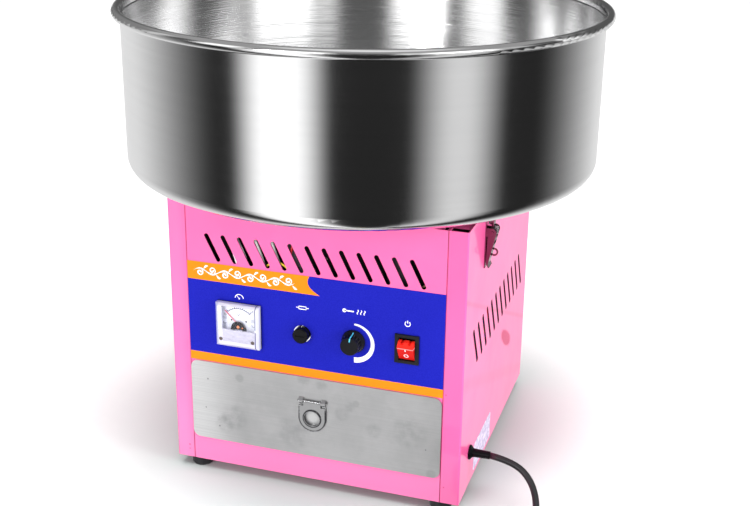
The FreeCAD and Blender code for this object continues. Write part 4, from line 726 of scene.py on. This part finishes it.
# colour, metallic, roughness, the grain's scale and depth, the tone's drift and the gloss
plainFinishes = {
    "zincSteel": ((0.62, 0.63, 0.65), 1, 0.38),
    "chromePlate": ((0.80, 0.80, 0.81), 1, 0.10, 300, 0.00001, 0.03),
    "castAluminium": ((0.72, 0.72, 0.74), 1, 0.42, 700, 0.00005),
    "blackMoulded": ((0.010, 0.010, 0.012), 0, 0.34, 900, 0.00003, 0.2, 0.15),
    "blackGloss": ((0.004, 0.004, 0.005), 0, 0.14, 400, 0.00001, 0.2, 0.12),
    "softRubber": ((0.018, 0.018, 0.021), 0, 0.55, 900, 0.00008, 0.2),
    "cordVinyl": ((0.014, 0.014, 0.016), 0, 0.38, 1200, 0.00003, 0.2),
    "boardGreen": ((0.02, 0.16, 0.05), 0, 0.35, 500, 0.00003, 0.1),
    "boardBrown": ((0.15, 0.07, 0.03), 0, 0.5, 500, 0.00005, 0.15),
    "copper": ((0.85, 0.42, 0.24), 1, 0.25, 500, 0.00001),
    "carbon": ((0.03, 0.03, 0.03), 0, 0.5, 800, 0.00005),
    "motorPaint": ((0.03, 0.035, 0.045), 0, 0.35, 700, 0.00004, 0.1),
    "whiteInk": ((0.92, 0.90, 0.95), 0, 0.5, 1500, 0.00001, 0.03),
    "greyInk": ((0.07, 0.07, 0.16), 0, 0.5, 1500, 0.00001, 0.1),
    "darkInk": ((0.03, 0.03, 0.06), 0, 0.5, 1500, 0.00001, 0.2),
    "cyanInk": ((0.10, 0.62, 0.80), 0, 0.4, 1500, 0.00001, 0.05),
    "brownScrew": ((0.13, 0.10, 0.09), 0.3, 0.45, 700, 0.00002, 0.1),
    # painted reflection: the latches' chrome is dark and pinkish, the pink case reflected in it
    "reflectionTintedChrome": ((0.24, 0.17, 0.185), 1, 0.16, 300, 0.00001, 0.05),
    "orangeSpot": ((0.85, 0.28, 0.12), 0, 0.35, 700, 0.00002, 0.1),
    "wireWhite": ((0.96, 0.96, 0.94), 0, 0.35, 900, 0.00002, 0.04),
    "wireRed": ((0.70, 0.02, 0.02), 0, 0.35, 900, 0.00002),
    "wireYellow": ((0.80, 0.60, 0.03), 0, 0.35, 900, 0.00002),
    "wireBlue": ((0.03, 0.07, 0.60), 0, 0.35, 900, 0.00002),
    "wireBrown": ((0.22, 0.10, 0.05), 0, 0.4, 900, 0.00002, 0.08),
    "wireBeige": ((0.42, 0.30, 0.22), 0, 0.4, 900, 0.00002, 0.08),
    "cardGrey": ((0.075, 0.070, 0.082), 0, 0.6, 700, 0.00003, 0.1),
    "cardBlack": ((0.008, 0.008, 0.009), 0, 0.6, 700, 0.00003, 0.1, 0.1),
    "greySleeve": ((0.22, 0.22, 0.24), 0, 0.45, 600, 0.00005, 0.15),
    "springSteel": ((0.82, 0.82, 0.83), 1, 0.16, 900, 0.00001, 0.05),
    "heatWire": ((0.55, 0.50, 0.45), 1, 0.35, 900, 0.00002, 0.1),
}
materials = {made.name: made for made in (
    pinkEnamel(), bowlSteel(), drawerSteel(), pullPlating(), overlayPrint(), dialPlate(),
    clearCover(), fadedNeedle(), plugMoulding(), knobGloss(), rockerRed(), bareLabel())}
for name, values in plainFinishes.items():
    materials[name] = plainFinish(name, *values)

feet = ["foot_%s_%s" % (end, side) for end in ("front", "rear") for side in ("left", "right")]
wearers = {
    "pinkEnamel": ["side_panel_left", "side_panel_right", "front_panel", "rear_panel", "top_deck",
                   "base_plate"],
    "bowlSteel": ["bowl", "bowl_catches"], "overlayPrint": ["front_overlay"],
    "drawerSteel": ["drawer_tray", "drawer_front"], "pullPlating": ["pull_plate"],
    "zincSteel": ["rail_left", "rail_right", "potentiometer", "motor_bracket", "bearings",
                  "heater_band", "head_studs", "spindle"],
    "chromePlate": ["fuse_washer", "case_screws"],
    "reflectionTintedChrome": ["latch_%s_%s" % (part, side) for part in ("base", "lever", "hook")
                   for side in ("right", "left", "rear")],
    "castAluminium": ["head_pan", "head_cap", "motor_bells"],
    "blackMoulded": ["meter_case", "meter_shroud", "fuse_holder", "switch_housing"],
    "blackGloss": ["fuse_cap", "cord_gland"], "knobGloss": ["heat_knob"],
    "softRubber": feet + ["motor_cushions", "seat_ring"],
    "plugMoulding": ["plug"], "dialPlate": ["meter_dial"], "clearCover": ["meter_cover"],
    "rockerRed": ["switch_rocker"], "fadedNeedle": ["meter_needle"], "boardGreen": ["control_board"],
    "boardBrown": ["brush_holder", "slip_hub"], "copper": ["slip_rings"], "carbon": ["brushes"],
    "motorPaint": ["motor_body"],
}
for finish, names in wearers.items():
    for name in names:
        nodes[name].data.materials.clear()
        nodes[name].data.materials.append(materials[finish])
leadCord.data.materials.append(materials["cordVinyl"])
print("finishes given")


controls = {"height": 0.1803, "meter": -0.0805, "fuse": -0.011, "knob": 0.044, "switch": 0.100}

# a flourish of swirls in place of lettering on the banner
flourish = {
    "from": -0.1310, "to": -0.0190, "middle": 0.2341, "swing": 0.0026, "waves": 4,
    "curl": 0.0040, "turns": 1.3, "thin": 0.0006, "thick": 0.0021, "leaf": 0.0034,
}


def flourishStrokes():
    # The stem is a sine wave, x = a + b s, z = c + h sin(2 pi n s). At each crest and trough a curl
    # winds about the centre of its bay, its radius shrinking as R (1 - 0.82 s), and a leaf stands up.
    start, middle, swing, waves, curl, thin, thick = [flourish[key] for key in (
        "from", "middle", "swing", "waves", "curl", "thin", "thick")]
    length = flourish["to"] - start
    share = np.linspace(0, 1, 220)
    wave = np.sin(2 * pi * waves * share)
    stem = pointsAt(start + length * share, skinFace, middle + swing * wave)
    swell = thin + (thick - thin) * wave ** 2
    strokes = [strokeAlong(stem, swell * np.minimum(1, 12 * share * (1 - share)) + 0.0001)]
    bay = length / waves / 2
    turned = np.linspace(0, 2 * pi * flourish["turns"], 60)
    size = curl * (1 - 0.82 * turned / turned[-1])
    grown = np.linspace(0, 1, 16)
    for number in range(2 * waves):
        up = 1 if number % 2 == 0 else -1
        crest = start + bay * (number + 0.5)
        centre = np.array([crest, skinFace, middle - up * (curl - swing * 0.9)])
        way = pointsAt(np.sin(turned) * size, 0, up * np.cos(turned) * size)
        strokes.append(strokeAlong(centre + way, np.linspace(thin * 1.2, thick, 60)))
        leaf = (np.array([crest + bay * 0.32, skinFace, middle + up * swing])
                + np.array([bay * 0.36, 0, up * flourish["leaf"]]) * grown[:, None])
        leaf[:, 2] += up * 0.0012 * np.sin(pi * grown)
        strokes.append(strokeAlong(leaf, 0.0001 + 0.0020 * np.sin(pi * grown)))
    return strokes


# plain signs over the controls: a dial, a fuse link, a thermometer with heat waves, a power ring;
# each with its place on the front, then the line they are drawn with and their sizes
signs = {
    "dial": (controls["meter"], 0.2087), "fuse": (controls["fuse"], 0.2085),
    "heat": (controls["knob"] - 0.001, 0.2125), "power": (controls["switch"], 0.2075),
    "line": 0.00085, "dialRadius": 0.0046, "pivot": 0.0009, "pointer": (-0.0026, 0.0030),
    "fuseHalf": (0.0040, 0.0015), "fuseEnd": 0.0068, "bulb": 0.0021, "bulbOut": 0.0090,
    "waveHalf": 0.0024, "waveOut": 0.0050, "waveApart": 0.0036, "sway": 0.0007, "ring": 0.0027,
}


def signStrokes():
    line = signs["line"]

    def dot(x, z, radius):
        return aboutAxis([0, radius, radius, 0], [0.00002, 0.00002, -0.00006, -0.00006], "y",
                         (x, skinFace, z), 20)
    x, z = signs["dial"]
    out, up = signs["pointer"]
    strokes = [arcStroke((x, z), signs["dialRadius"], 5, 175, line), dot(x, z, signs["pivot"]),
               lineStroke((x, z), (x + out, z + up), line * 0.8)]
    x, z = signs["fuse"]
    across, tall = signs["fuseHalf"]
    corners = [(x - across, z - tall), (x + across, z - tall), (x + across, z + tall),
               (x - across, z + tall)]
    strokes += [lineStroke(start, end, line) for start, end in zip(corners, corners[1:] + corners[:1])]
    strokes += [lineStroke((x + side * across, z), (x + side * signs["fuseEnd"], z), line)
                for side in (-1, 1)]
    x, z = signs["heat"]
    bulb, half = x - signs["bulbOut"], signs["waveHalf"]
    strokes += [dot(bulb, z, signs["bulb"]), lineStroke((bulb, z), (x + 0.0010, z), line * 1.6)]
    height = np.linspace(-half, half, 24)
    for step in range(3):
        wave = x + signs["waveOut"] + step * signs["waveApart"] + signs["sway"] * np.sin(height / half * pi)
        strokes.append(strokeAlong(pointsAt(wave, skinFace, z + height), line))
    x, z = signs["power"]
    return strokes + [arcStroke((x, z), signs["ring"], 125, 415, line),
                      lineStroke((x, z + 0.0006), (x, z + 0.0036), line)]


# the heat scale: a white crescent that thickens as it comes round the knob
crescent = {"middle": (0.0445, 0.1781), "outer": 0.0215, "thin": 0.0018, "thick": 0.0058}


def crescentStroke():
    # the outer edge is a half circle and the width w grows from its top: the stroke's middle lies at
    # radius R - w / 2
    angle = np.radians(np.linspace(90, -90, 60))
    width = crescent["thin"] + (crescent["thick"] - crescent["thin"]) * np.linspace(0, 1, 60) ** 0.9
    reach = crescent["outer"] - width / 2
    return strokeAlong(pointsAt(crescent["middle"][0] + reach * np.cos(angle), skinFace,
                                crescent["middle"][1] + reach * np.sin(angle)), width)


for name, strokes in (("banner_flourish", flourishStrokes()), ("control_signs", signStrokes()),
                      ("heat_crescent", crescentStroke())):
    addPiece(name, strokes, "case", "whiteInk", smooth=False)
print("front printed")


# the dial's drawing (metres and degrees): its scale with long and short marks, the numerals, and at
# both sides a loop under three lines; then the screws and the copper spots: how far beside and over
# the dial's middle, and radius
meter = {"x": controls["meter"], "z": controls["height"], "scale": 0.0180, "reach": 42, "line": 0.0006,
         "long": (0.0021, 0.0010), "short": (0.0011, 0.0006), "digits": 0.0042, "digitsOut": 0.0040,
         "first": -14, "apart": 28, "letters": 0.0046, "loop": (0.0160, 0.0008, 0.0014),
         "coverScrew": (0.0178, -0.0152, 0.0020), "dialScrew": (0.0082, 0.0045, 0.0009),
         "spots": [(0.0004, -0.0012, 0.0017), (0.0052, -0.0018, 0.0009)]}


def flatLetters(name, items):
    # one mesh on the dial, from each item's text, middle, height and turn
    joined = bmesh.new()
    for text, (x, z), size, turn in items:
        data = bpy.data.curves.new(name, "FONT")
        data.body, data.size, data.extrude = text, size, 0.00003
        data.align_x, data.align_y = "CENTER", "CENTER"
        data.resolution_u = 3
        mesh = meshFrom(data)
        mesh.transform(Matrix.Translation((x, dialFace - 0.00003, z))
                       @ Matrix.Rotation(radians(turn), 4, "Y") @ Matrix.Rotation(pi / 2, 4, "X"))
        joined.from_mesh(mesh)
        bpy.data.meshes.remove(mesh)
    bmesh.ops.remove_doubles(joined, verts=joined.verts, dist=1e-7)
    bmesh.ops.recalc_face_normals(joined, faces=joined.faces)
    made = bpy.data.meshes.new(name)
    joined.to_mesh(made)
    joined.free()
    return made


def onScale(degrees, outward):
    # a place on the dial: degrees right of straight up, and how far outside the scale's arc
    turn, radius = radians(degrees), meter["scale"] + outward
    return meter["x"] + radius * sin(turn), meter["z"] + radius * cos(turn)


def scaleStrokes():
    reach = meter["reach"]
    strokes = [arcStroke((meter["x"], meter["z"]), meter["scale"], 90 - reach, 90 + reach, 0.0007,
                         dialFace)]
    for number in range(13):
        degrees = -reach + number * reach / 6
        long, width = meter["short" if number % 4 else "long"]
        strokes.append(lineStroke(onScale(degrees, -0.0002), onScale(degrees, long), width, dialFace))
    out, up, radius = meter["loop"]
    for side in (-1, 1):
        x, z = meter["x"] + side * out, meter["z"] + up
        strokes.append(arcStroke((x, z), radius, 150, 360, meter["line"], dialFace))
        for step in range(3):
            height = z + 0.0042 + step * 0.0011
            strokes.append(lineStroke((x - 0.0022, height), (x + 0.0022, height), 0.0003, dialFace))
    return strokes


def slottedScrew(x, z, face, radius, tall, turn):
    # a shallow dome, h (1 - 0.6 (r / R)^2), whose points are sunk near its middle line, the slot
    share = np.array([0, 0.12, 0.13, 0.3, 0.5, 0.7, 0.85, 0.95, 1.0, 1.0])
    angle = np.linspace(0, 2 * pi, 48, endpoint=False)
    reach = share[:, None] * radius + 0 * angle
    across = reach * np.cos(angle - radians(turn))
    dome = tall * (1 - 0.6 * share[:, None] ** 2) + 0 * angle
    sunk = np.where(np.abs(across) < radius * 0.16, tall * 0.35, dome)
    sunk[-1] = 0
    place = pointsAt(x + reach * np.cos(angle), face - sunk, z + reach * np.sin(angle))
    return np.vstack([place, np.repeat(np.array([[[x, face, z]]]), 48, axis=1)])


turns = [meter["first"] + meter["apart"] * step for step in range(3)]
numerals = [(str(number + 1), onScale(turn, meter["digitsOut"]), meter["digits"], turn)
            for number, turn in enumerate(turns)]
numerals.append(("V", (meter["x"] - 0.0002, meter["z"] + 0.0108), meter["letters"], 0))
zero = [("0", (meter["x"] - 0.0150, meter["z"] + 0.0098), meter["letters"], -38)]
addPiece("meter_scale", scaleStrokes(), "case", "greyInk", smooth=False)
addPiece("meter_numerals", flatLetters("meter_numerals", numerals), "case", "greyInk")
addPiece("meter_zero", flatLetters("meter_zero", zero), "case", "darkInk")


def screwPair(place, face, tall, turns):
    out, up, radius = meter[place]
    return [slottedScrew(meter["x"] + side * out, meter["z"] + up, face, radius, tall, turn)
            for side, turn in zip((-1, 1), turns)]


coverFace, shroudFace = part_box("meter_cover")[0][1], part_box("meter_shroud")[0][1]
addPiece("meter_cover_screws", screwPair("coverScrew", coverFace, 0.0006, (-35, 35)), "case",
         "brownScrew")
addPiece("meter_dial_screws", screwPair("dialScrew", dialFace, 0.0005, (60, 60)), "case",
         "darkInk")
addPiece("meter_pivot_spots",
         [aboutAxis([0, radius * 0.7, radius, radius, 0], [-0.0006, -0.0005, -0.0002, 0, 0], "y",
                    (meter["x"] + out, shroudFace, meter["z"] + up), 20)
          for out, up, radius in meter["spots"]], "case", "orangeSpot")
print("meter dressed")


# the pointer's line: how far from the knob's middle, how far out of the panel, and how much it
# faces outwards rather than forwards
knobLine = {
    "turn": 6, "width": 0.0011,
    "steps": [(0.0112, 0.0045, 0.75), (0.0104, 0.0066, 0.96), (0.00955, 0.0140, 1.0),
              (0.0091, 0.0152, 0.7), (0.0084, 0.01556, 0.1), (0.0058, 0.01556, 0.0)],
}


def knobPointer():
    # a painted line from the skirt up the grip and a little way in over the face
    turn = radians(knobLine["turn"])
    steps = np.array(knobLine["steps"])
    way, forward = np.array([sin(turn), 0, cos(turn)]), np.array([0, -1, 0])
    foot = np.array([controls["knob"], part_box("heat_knob")[1][1], controls["height"]])
    lean = steps[:, 2:]
    return strokeAlong(foot + steps[:, :1] * way + steps[:, 1:2] * forward, knobLine["width"], 0.0003,
                       unit(lean * way + (1 - lean) * forward))


# the rocker's lower face runs from its ridge to its foot (metres from the pivot: out of the panel,
# up), with the marks set along it
rocker = {"ridge": (0.0124, 0.0070), "foot": (0.0070, -0.0106), "tilt": 12, "in": 0.0045,
          "ring": 0.0021, "line": 0.0008, "dash": (0.12, 0.27), "ringAt": 0.66}


def onRocker(down, across):
    # a point on the lower face, a share of the way down from the ridge, and its outward normal
    ridge, foot = np.array(rocker["ridge"]), np.array(rocker["foot"])
    lean = radians(rocker["tilt"])
    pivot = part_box("front_panel")[0][1] + rocker["in"]

    def tilted(out, up):
        return -out * cos(lean) - up * sin(lean), -out * sin(lean) + up * cos(lean)
    y, z = tilted(*(ridge + (foot - ridge) * down))
    out, up = unit(foot - ridge)
    return (np.array([controls["switch"] + across, pivot + y, controls["height"] + z]),
            np.array([0, *tilted(-up, out)]))


def rockerMarks():
    length = np.hypot(*(np.array(rocker["ridge"]) - np.array(rocker["foot"])))
    normal = onRocker(0.5, 0)[1]
    dash = np.array([onRocker(share, 0)[0] for share in rocker["dash"]])
    ring = np.array([onRocker(rocker["ringAt"] + rocker["ring"] / length * sin(angle),
                              rocker["ring"] * cos(angle))[0]
                     for angle in np.linspace(0, 2 * pi, 40, endpoint=False)])
    return [strokeAlong(dash, rocker["line"] * 1.3, 0.0001, normal),
            strokeAlong(ring, rocker["line"], 0.0001, normal, closed=True)]


addPiece("knob_pointer", knobPointer(), "knob", "cyanInk", smooth=False)
addPiece("rocker_marks", rockerMarks(), "rocker", "whiteInk", smooth=False)
print("controls marked")


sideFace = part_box("side_panel_right")[1][0]
label = {"front": -0.093, "rear": -0.014, "low": 0.017, "high": 0.049, "corner": 0.003, "thick": 0.00018}


def bareSticker():
    # a rounded rectangle, with a quarter circle at each corner; shrunk copies of the outline make the
    # face, which closes at the middle and the back
    corner = label["corner"]
    front, rear = label["front"] + corner, label["rear"] - corner
    low, high = label["low"] + corner, label["high"] - corner
    outline = []
    for y, z, start in ((rear, high, 0), (front, high, 90), (front, low, 180), (rear, low, 270)):
        angle = np.radians(np.linspace(start, start + 90, 8))
        outline.append(pointsAt(0, y + corner * np.cos(angle), z + corner * np.sin(angle)))
    outline = np.vstack(outline)
    middle = outline.mean(0)
    rows = [(0.0, 1), (0.5, 1), (1.0, 1), (1.0, 0), (0.0, 0)]  # how wide, and 1 on the face
    return np.stack([middle + (outline - middle) * share + [sideFace + face * label["thick"], 0, 0]
                     for share, face in rows])


addPiece("side_label", bareSticker(), "case", "bareLabel", smooth=False)

# a coil spring in front of each hook's shank; each site is its turn in degrees and its place
spring = {"out": 0.0094, "low": 0.2830, "high": 0.2915, "radius": 0.0017, "wire": 0.00042, "turns": 6,
          "sites": {"right": (0, 0.1585, -0.076), "left": (180, -0.1585, -0.076),
                    "rear": (90, 0.0, 0.1615)}}


def latchSpring(degrees, x, y):
    # an upright helix, (r cos a, r sin a, h), with h growing as s - 0.04 sin 2 pi s: closer at its ends
    angle = np.linspace(0, 2 * pi * spring["turns"], 24 * spring["turns"])
    share = angle / angle[-1]
    height = spring["low"] + (spring["high"] - spring["low"]) * (share - 0.04 * np.sin(2 * pi * share))
    local = pointsAt(spring["out"] + spring["radius"] * np.cos(angle),
                     spring["radius"] * np.sin(angle), height)
    turn = np.array(Matrix.Rotation(radians(degrees), 3, "Z"))
    return local @ turn.T + np.array([x, y, 0])


for site, place in spring["sites"].items():
    addPiece("latch_spring_" + site, tubeAlong(latchSpring(*place), spring["wire"], 8), "hook_" + site,
             "springSteel")
print("latches sprung")


# each wire's finish, radius and points that it runs by, in millimetres
loom = {
    "white_1": ("wireWhite", 1.3, [(-118, -112, 292), (-100, -148, 282), (-88.3, -152.2, 261),
        (-82.4, -152.2, 243.2), (-83, -149, 229), (-86, -118, 200)]),
    "white_2": ("wireWhite", 1.2, [(-108, -112, 293), (-92, -148, 285), (-80.5, -152.2, 268.5),
        (-73, -152.2, 251.8), (-70, -149, 230), (-78, -118, 200)]),
    "white_3": ("wireWhite", 1.6, [(-90, -112, 294), (-74.5, -148, 286), (-62.7, -152.2, 273.8),
        (-54.7, -152.2, 251.4), (-50, -149, 229), (-62, -118, 198)]),
    "white_4": ("wireWhite", 1.6, [(-56, -112, 294), (-53, -148, 288), (-45.2, -152.2, 274.5),
        (-41.9, -152.2, 263.8), (-34, -148, 238), (-40, -115, 204), (-16, -125, 186)]),
    "yellow_1": ("wireYellow", 1.1, [(-78, -130, 222), (-52, -152.8, 247.3), (-40.6, -152.8, 253.9),
        (-30.8, -152.8, 251.5), (-12, -149, 230), (10, -120, 215), (44, -126, 172)]),
    "red_1": ("wireRed", 1.3, [(-18, -120, 292), (-22.5, -150, 276), (-24.5, -152.2, 264.2),
        (-26.5, -152.2, 256.1), (-25, -149, 230), (-20, -120, 210), (38, -130, 168)]),
    "brown_2": ("wireBrown", 1.1, [(126, -120, 262), (124, -150, 254), (116, -151, 248.2),
        (109.5, -151, 245.2), (104, -150, 228), (98, -128, 200)]),
    "red_2": ("wireRed", 1.3, [(150, -112, 56), (147, -80, 110), (147, -58, 152.5), (147, -20, 142),
        (147, -4, 150), (146, 6, 168), (120, -60, 190), (104, -120, 176)]),
    "blue_1": ("wireBlue", 1.3, [(150, -116, 56), (148, -80, 120), (148, -30, 142.5), (148, 12, 138),
        (140, -30, 170), (98, -120, 186)]),
    "brown_1": ("wireBrown", 1.3, [(150, -114, 58), (145, -90, 110), (144, -70, 150), (126, -92, 172),
        (103, -120, 182)]),
    "yellow_2": ("wireYellow", 1.3, [(150, -112, 54), (149, -60, 120), (149, -21, 157.5), (142, 20, 152),
        (100, 60, 120), (40, 30, 186)]),
    "sleeve": ("greySleeve", 3.6, [(-48, -112, 292), (-40, -140, 286), (-30, -145.5, 268.5),
        (-14.5, -145.5, 244.6), (-6, -144, 228), (2, -118, 208)]),
    "clip": ("wireBeige", 1.8, [(8.8, -149.6, 259), (10.5, -150, 261), (12.2, -149.6, 263.2)]),
}
for wire, (finish, radius, route) in loom.items():
    path = splinePoints(np.array(route) / 1000, 12)
    size = radius / 1000
    if wire == "sleeve":
        size = size * (1 + 0.10 * np.sin(np.arange(len(path)) * 2.1))  # ribbed, a rib every 3 points
    addPiece("loom_" + wire, tubeAlong(path, size, 10), "case", finish)

# folded insulating cards behind the louvres: left and right end, face, bottom, height and shade
cards = {"long": (-0.1285, 0.0725, -0.1385, 0.2385, 0.0350, "cardBlack"),
         "grey": (0.0735, 0.0975, -0.1473, 0.2340, 0.0450, "cardGrey"),
         "short": (0.0985, 0.1215, -0.1473, 0.2340, 0.0450, "cardBlack")}
fold = [(0, 0.013), (0, 0.005), (0.001, 0.001), (0.005, 0)]  # in from the end, behind the face
for card, (left, right, face, low, tall, shade) in cards.items():
    bends = ([(left + inward, face + behind, low) for inward, behind in fold]
             + [(right - inward, face + behind, low) for inward, behind in fold[::-1]])
    addPiece("slot_card_" + card, strokeAlong(splinePoints(bends), 0.0005, tall, (0, 0, 1)), "case",
             shade, smooth=False)

# the open coil that melts the sugar, inside the head
heater = {"ring": 0.0626, "coil": 0.0011, "wire": 0.0003, "turns": 150, "height": 0.3622}


def heaterCoil():
    # a helix bent into a ring: radius R + r cos n a at angle a, height r sin n a
    angle = np.linspace(0, 2 * pi, heater["turns"] * 10, endpoint=False)
    reach = heater["ring"] + heater["coil"] * np.cos(heater["turns"] * angle)
    rise = heater["height"] + heater["coil"] * np.sin(heater["turns"] * angle)
    return tubeAlong(pointsAt(reach * np.cos(angle), reach * np.sin(angle), rise), heater["wire"], 6)


addPiece("heater_coil", heaterCoil(), "head", "heatWire")
print("wired")
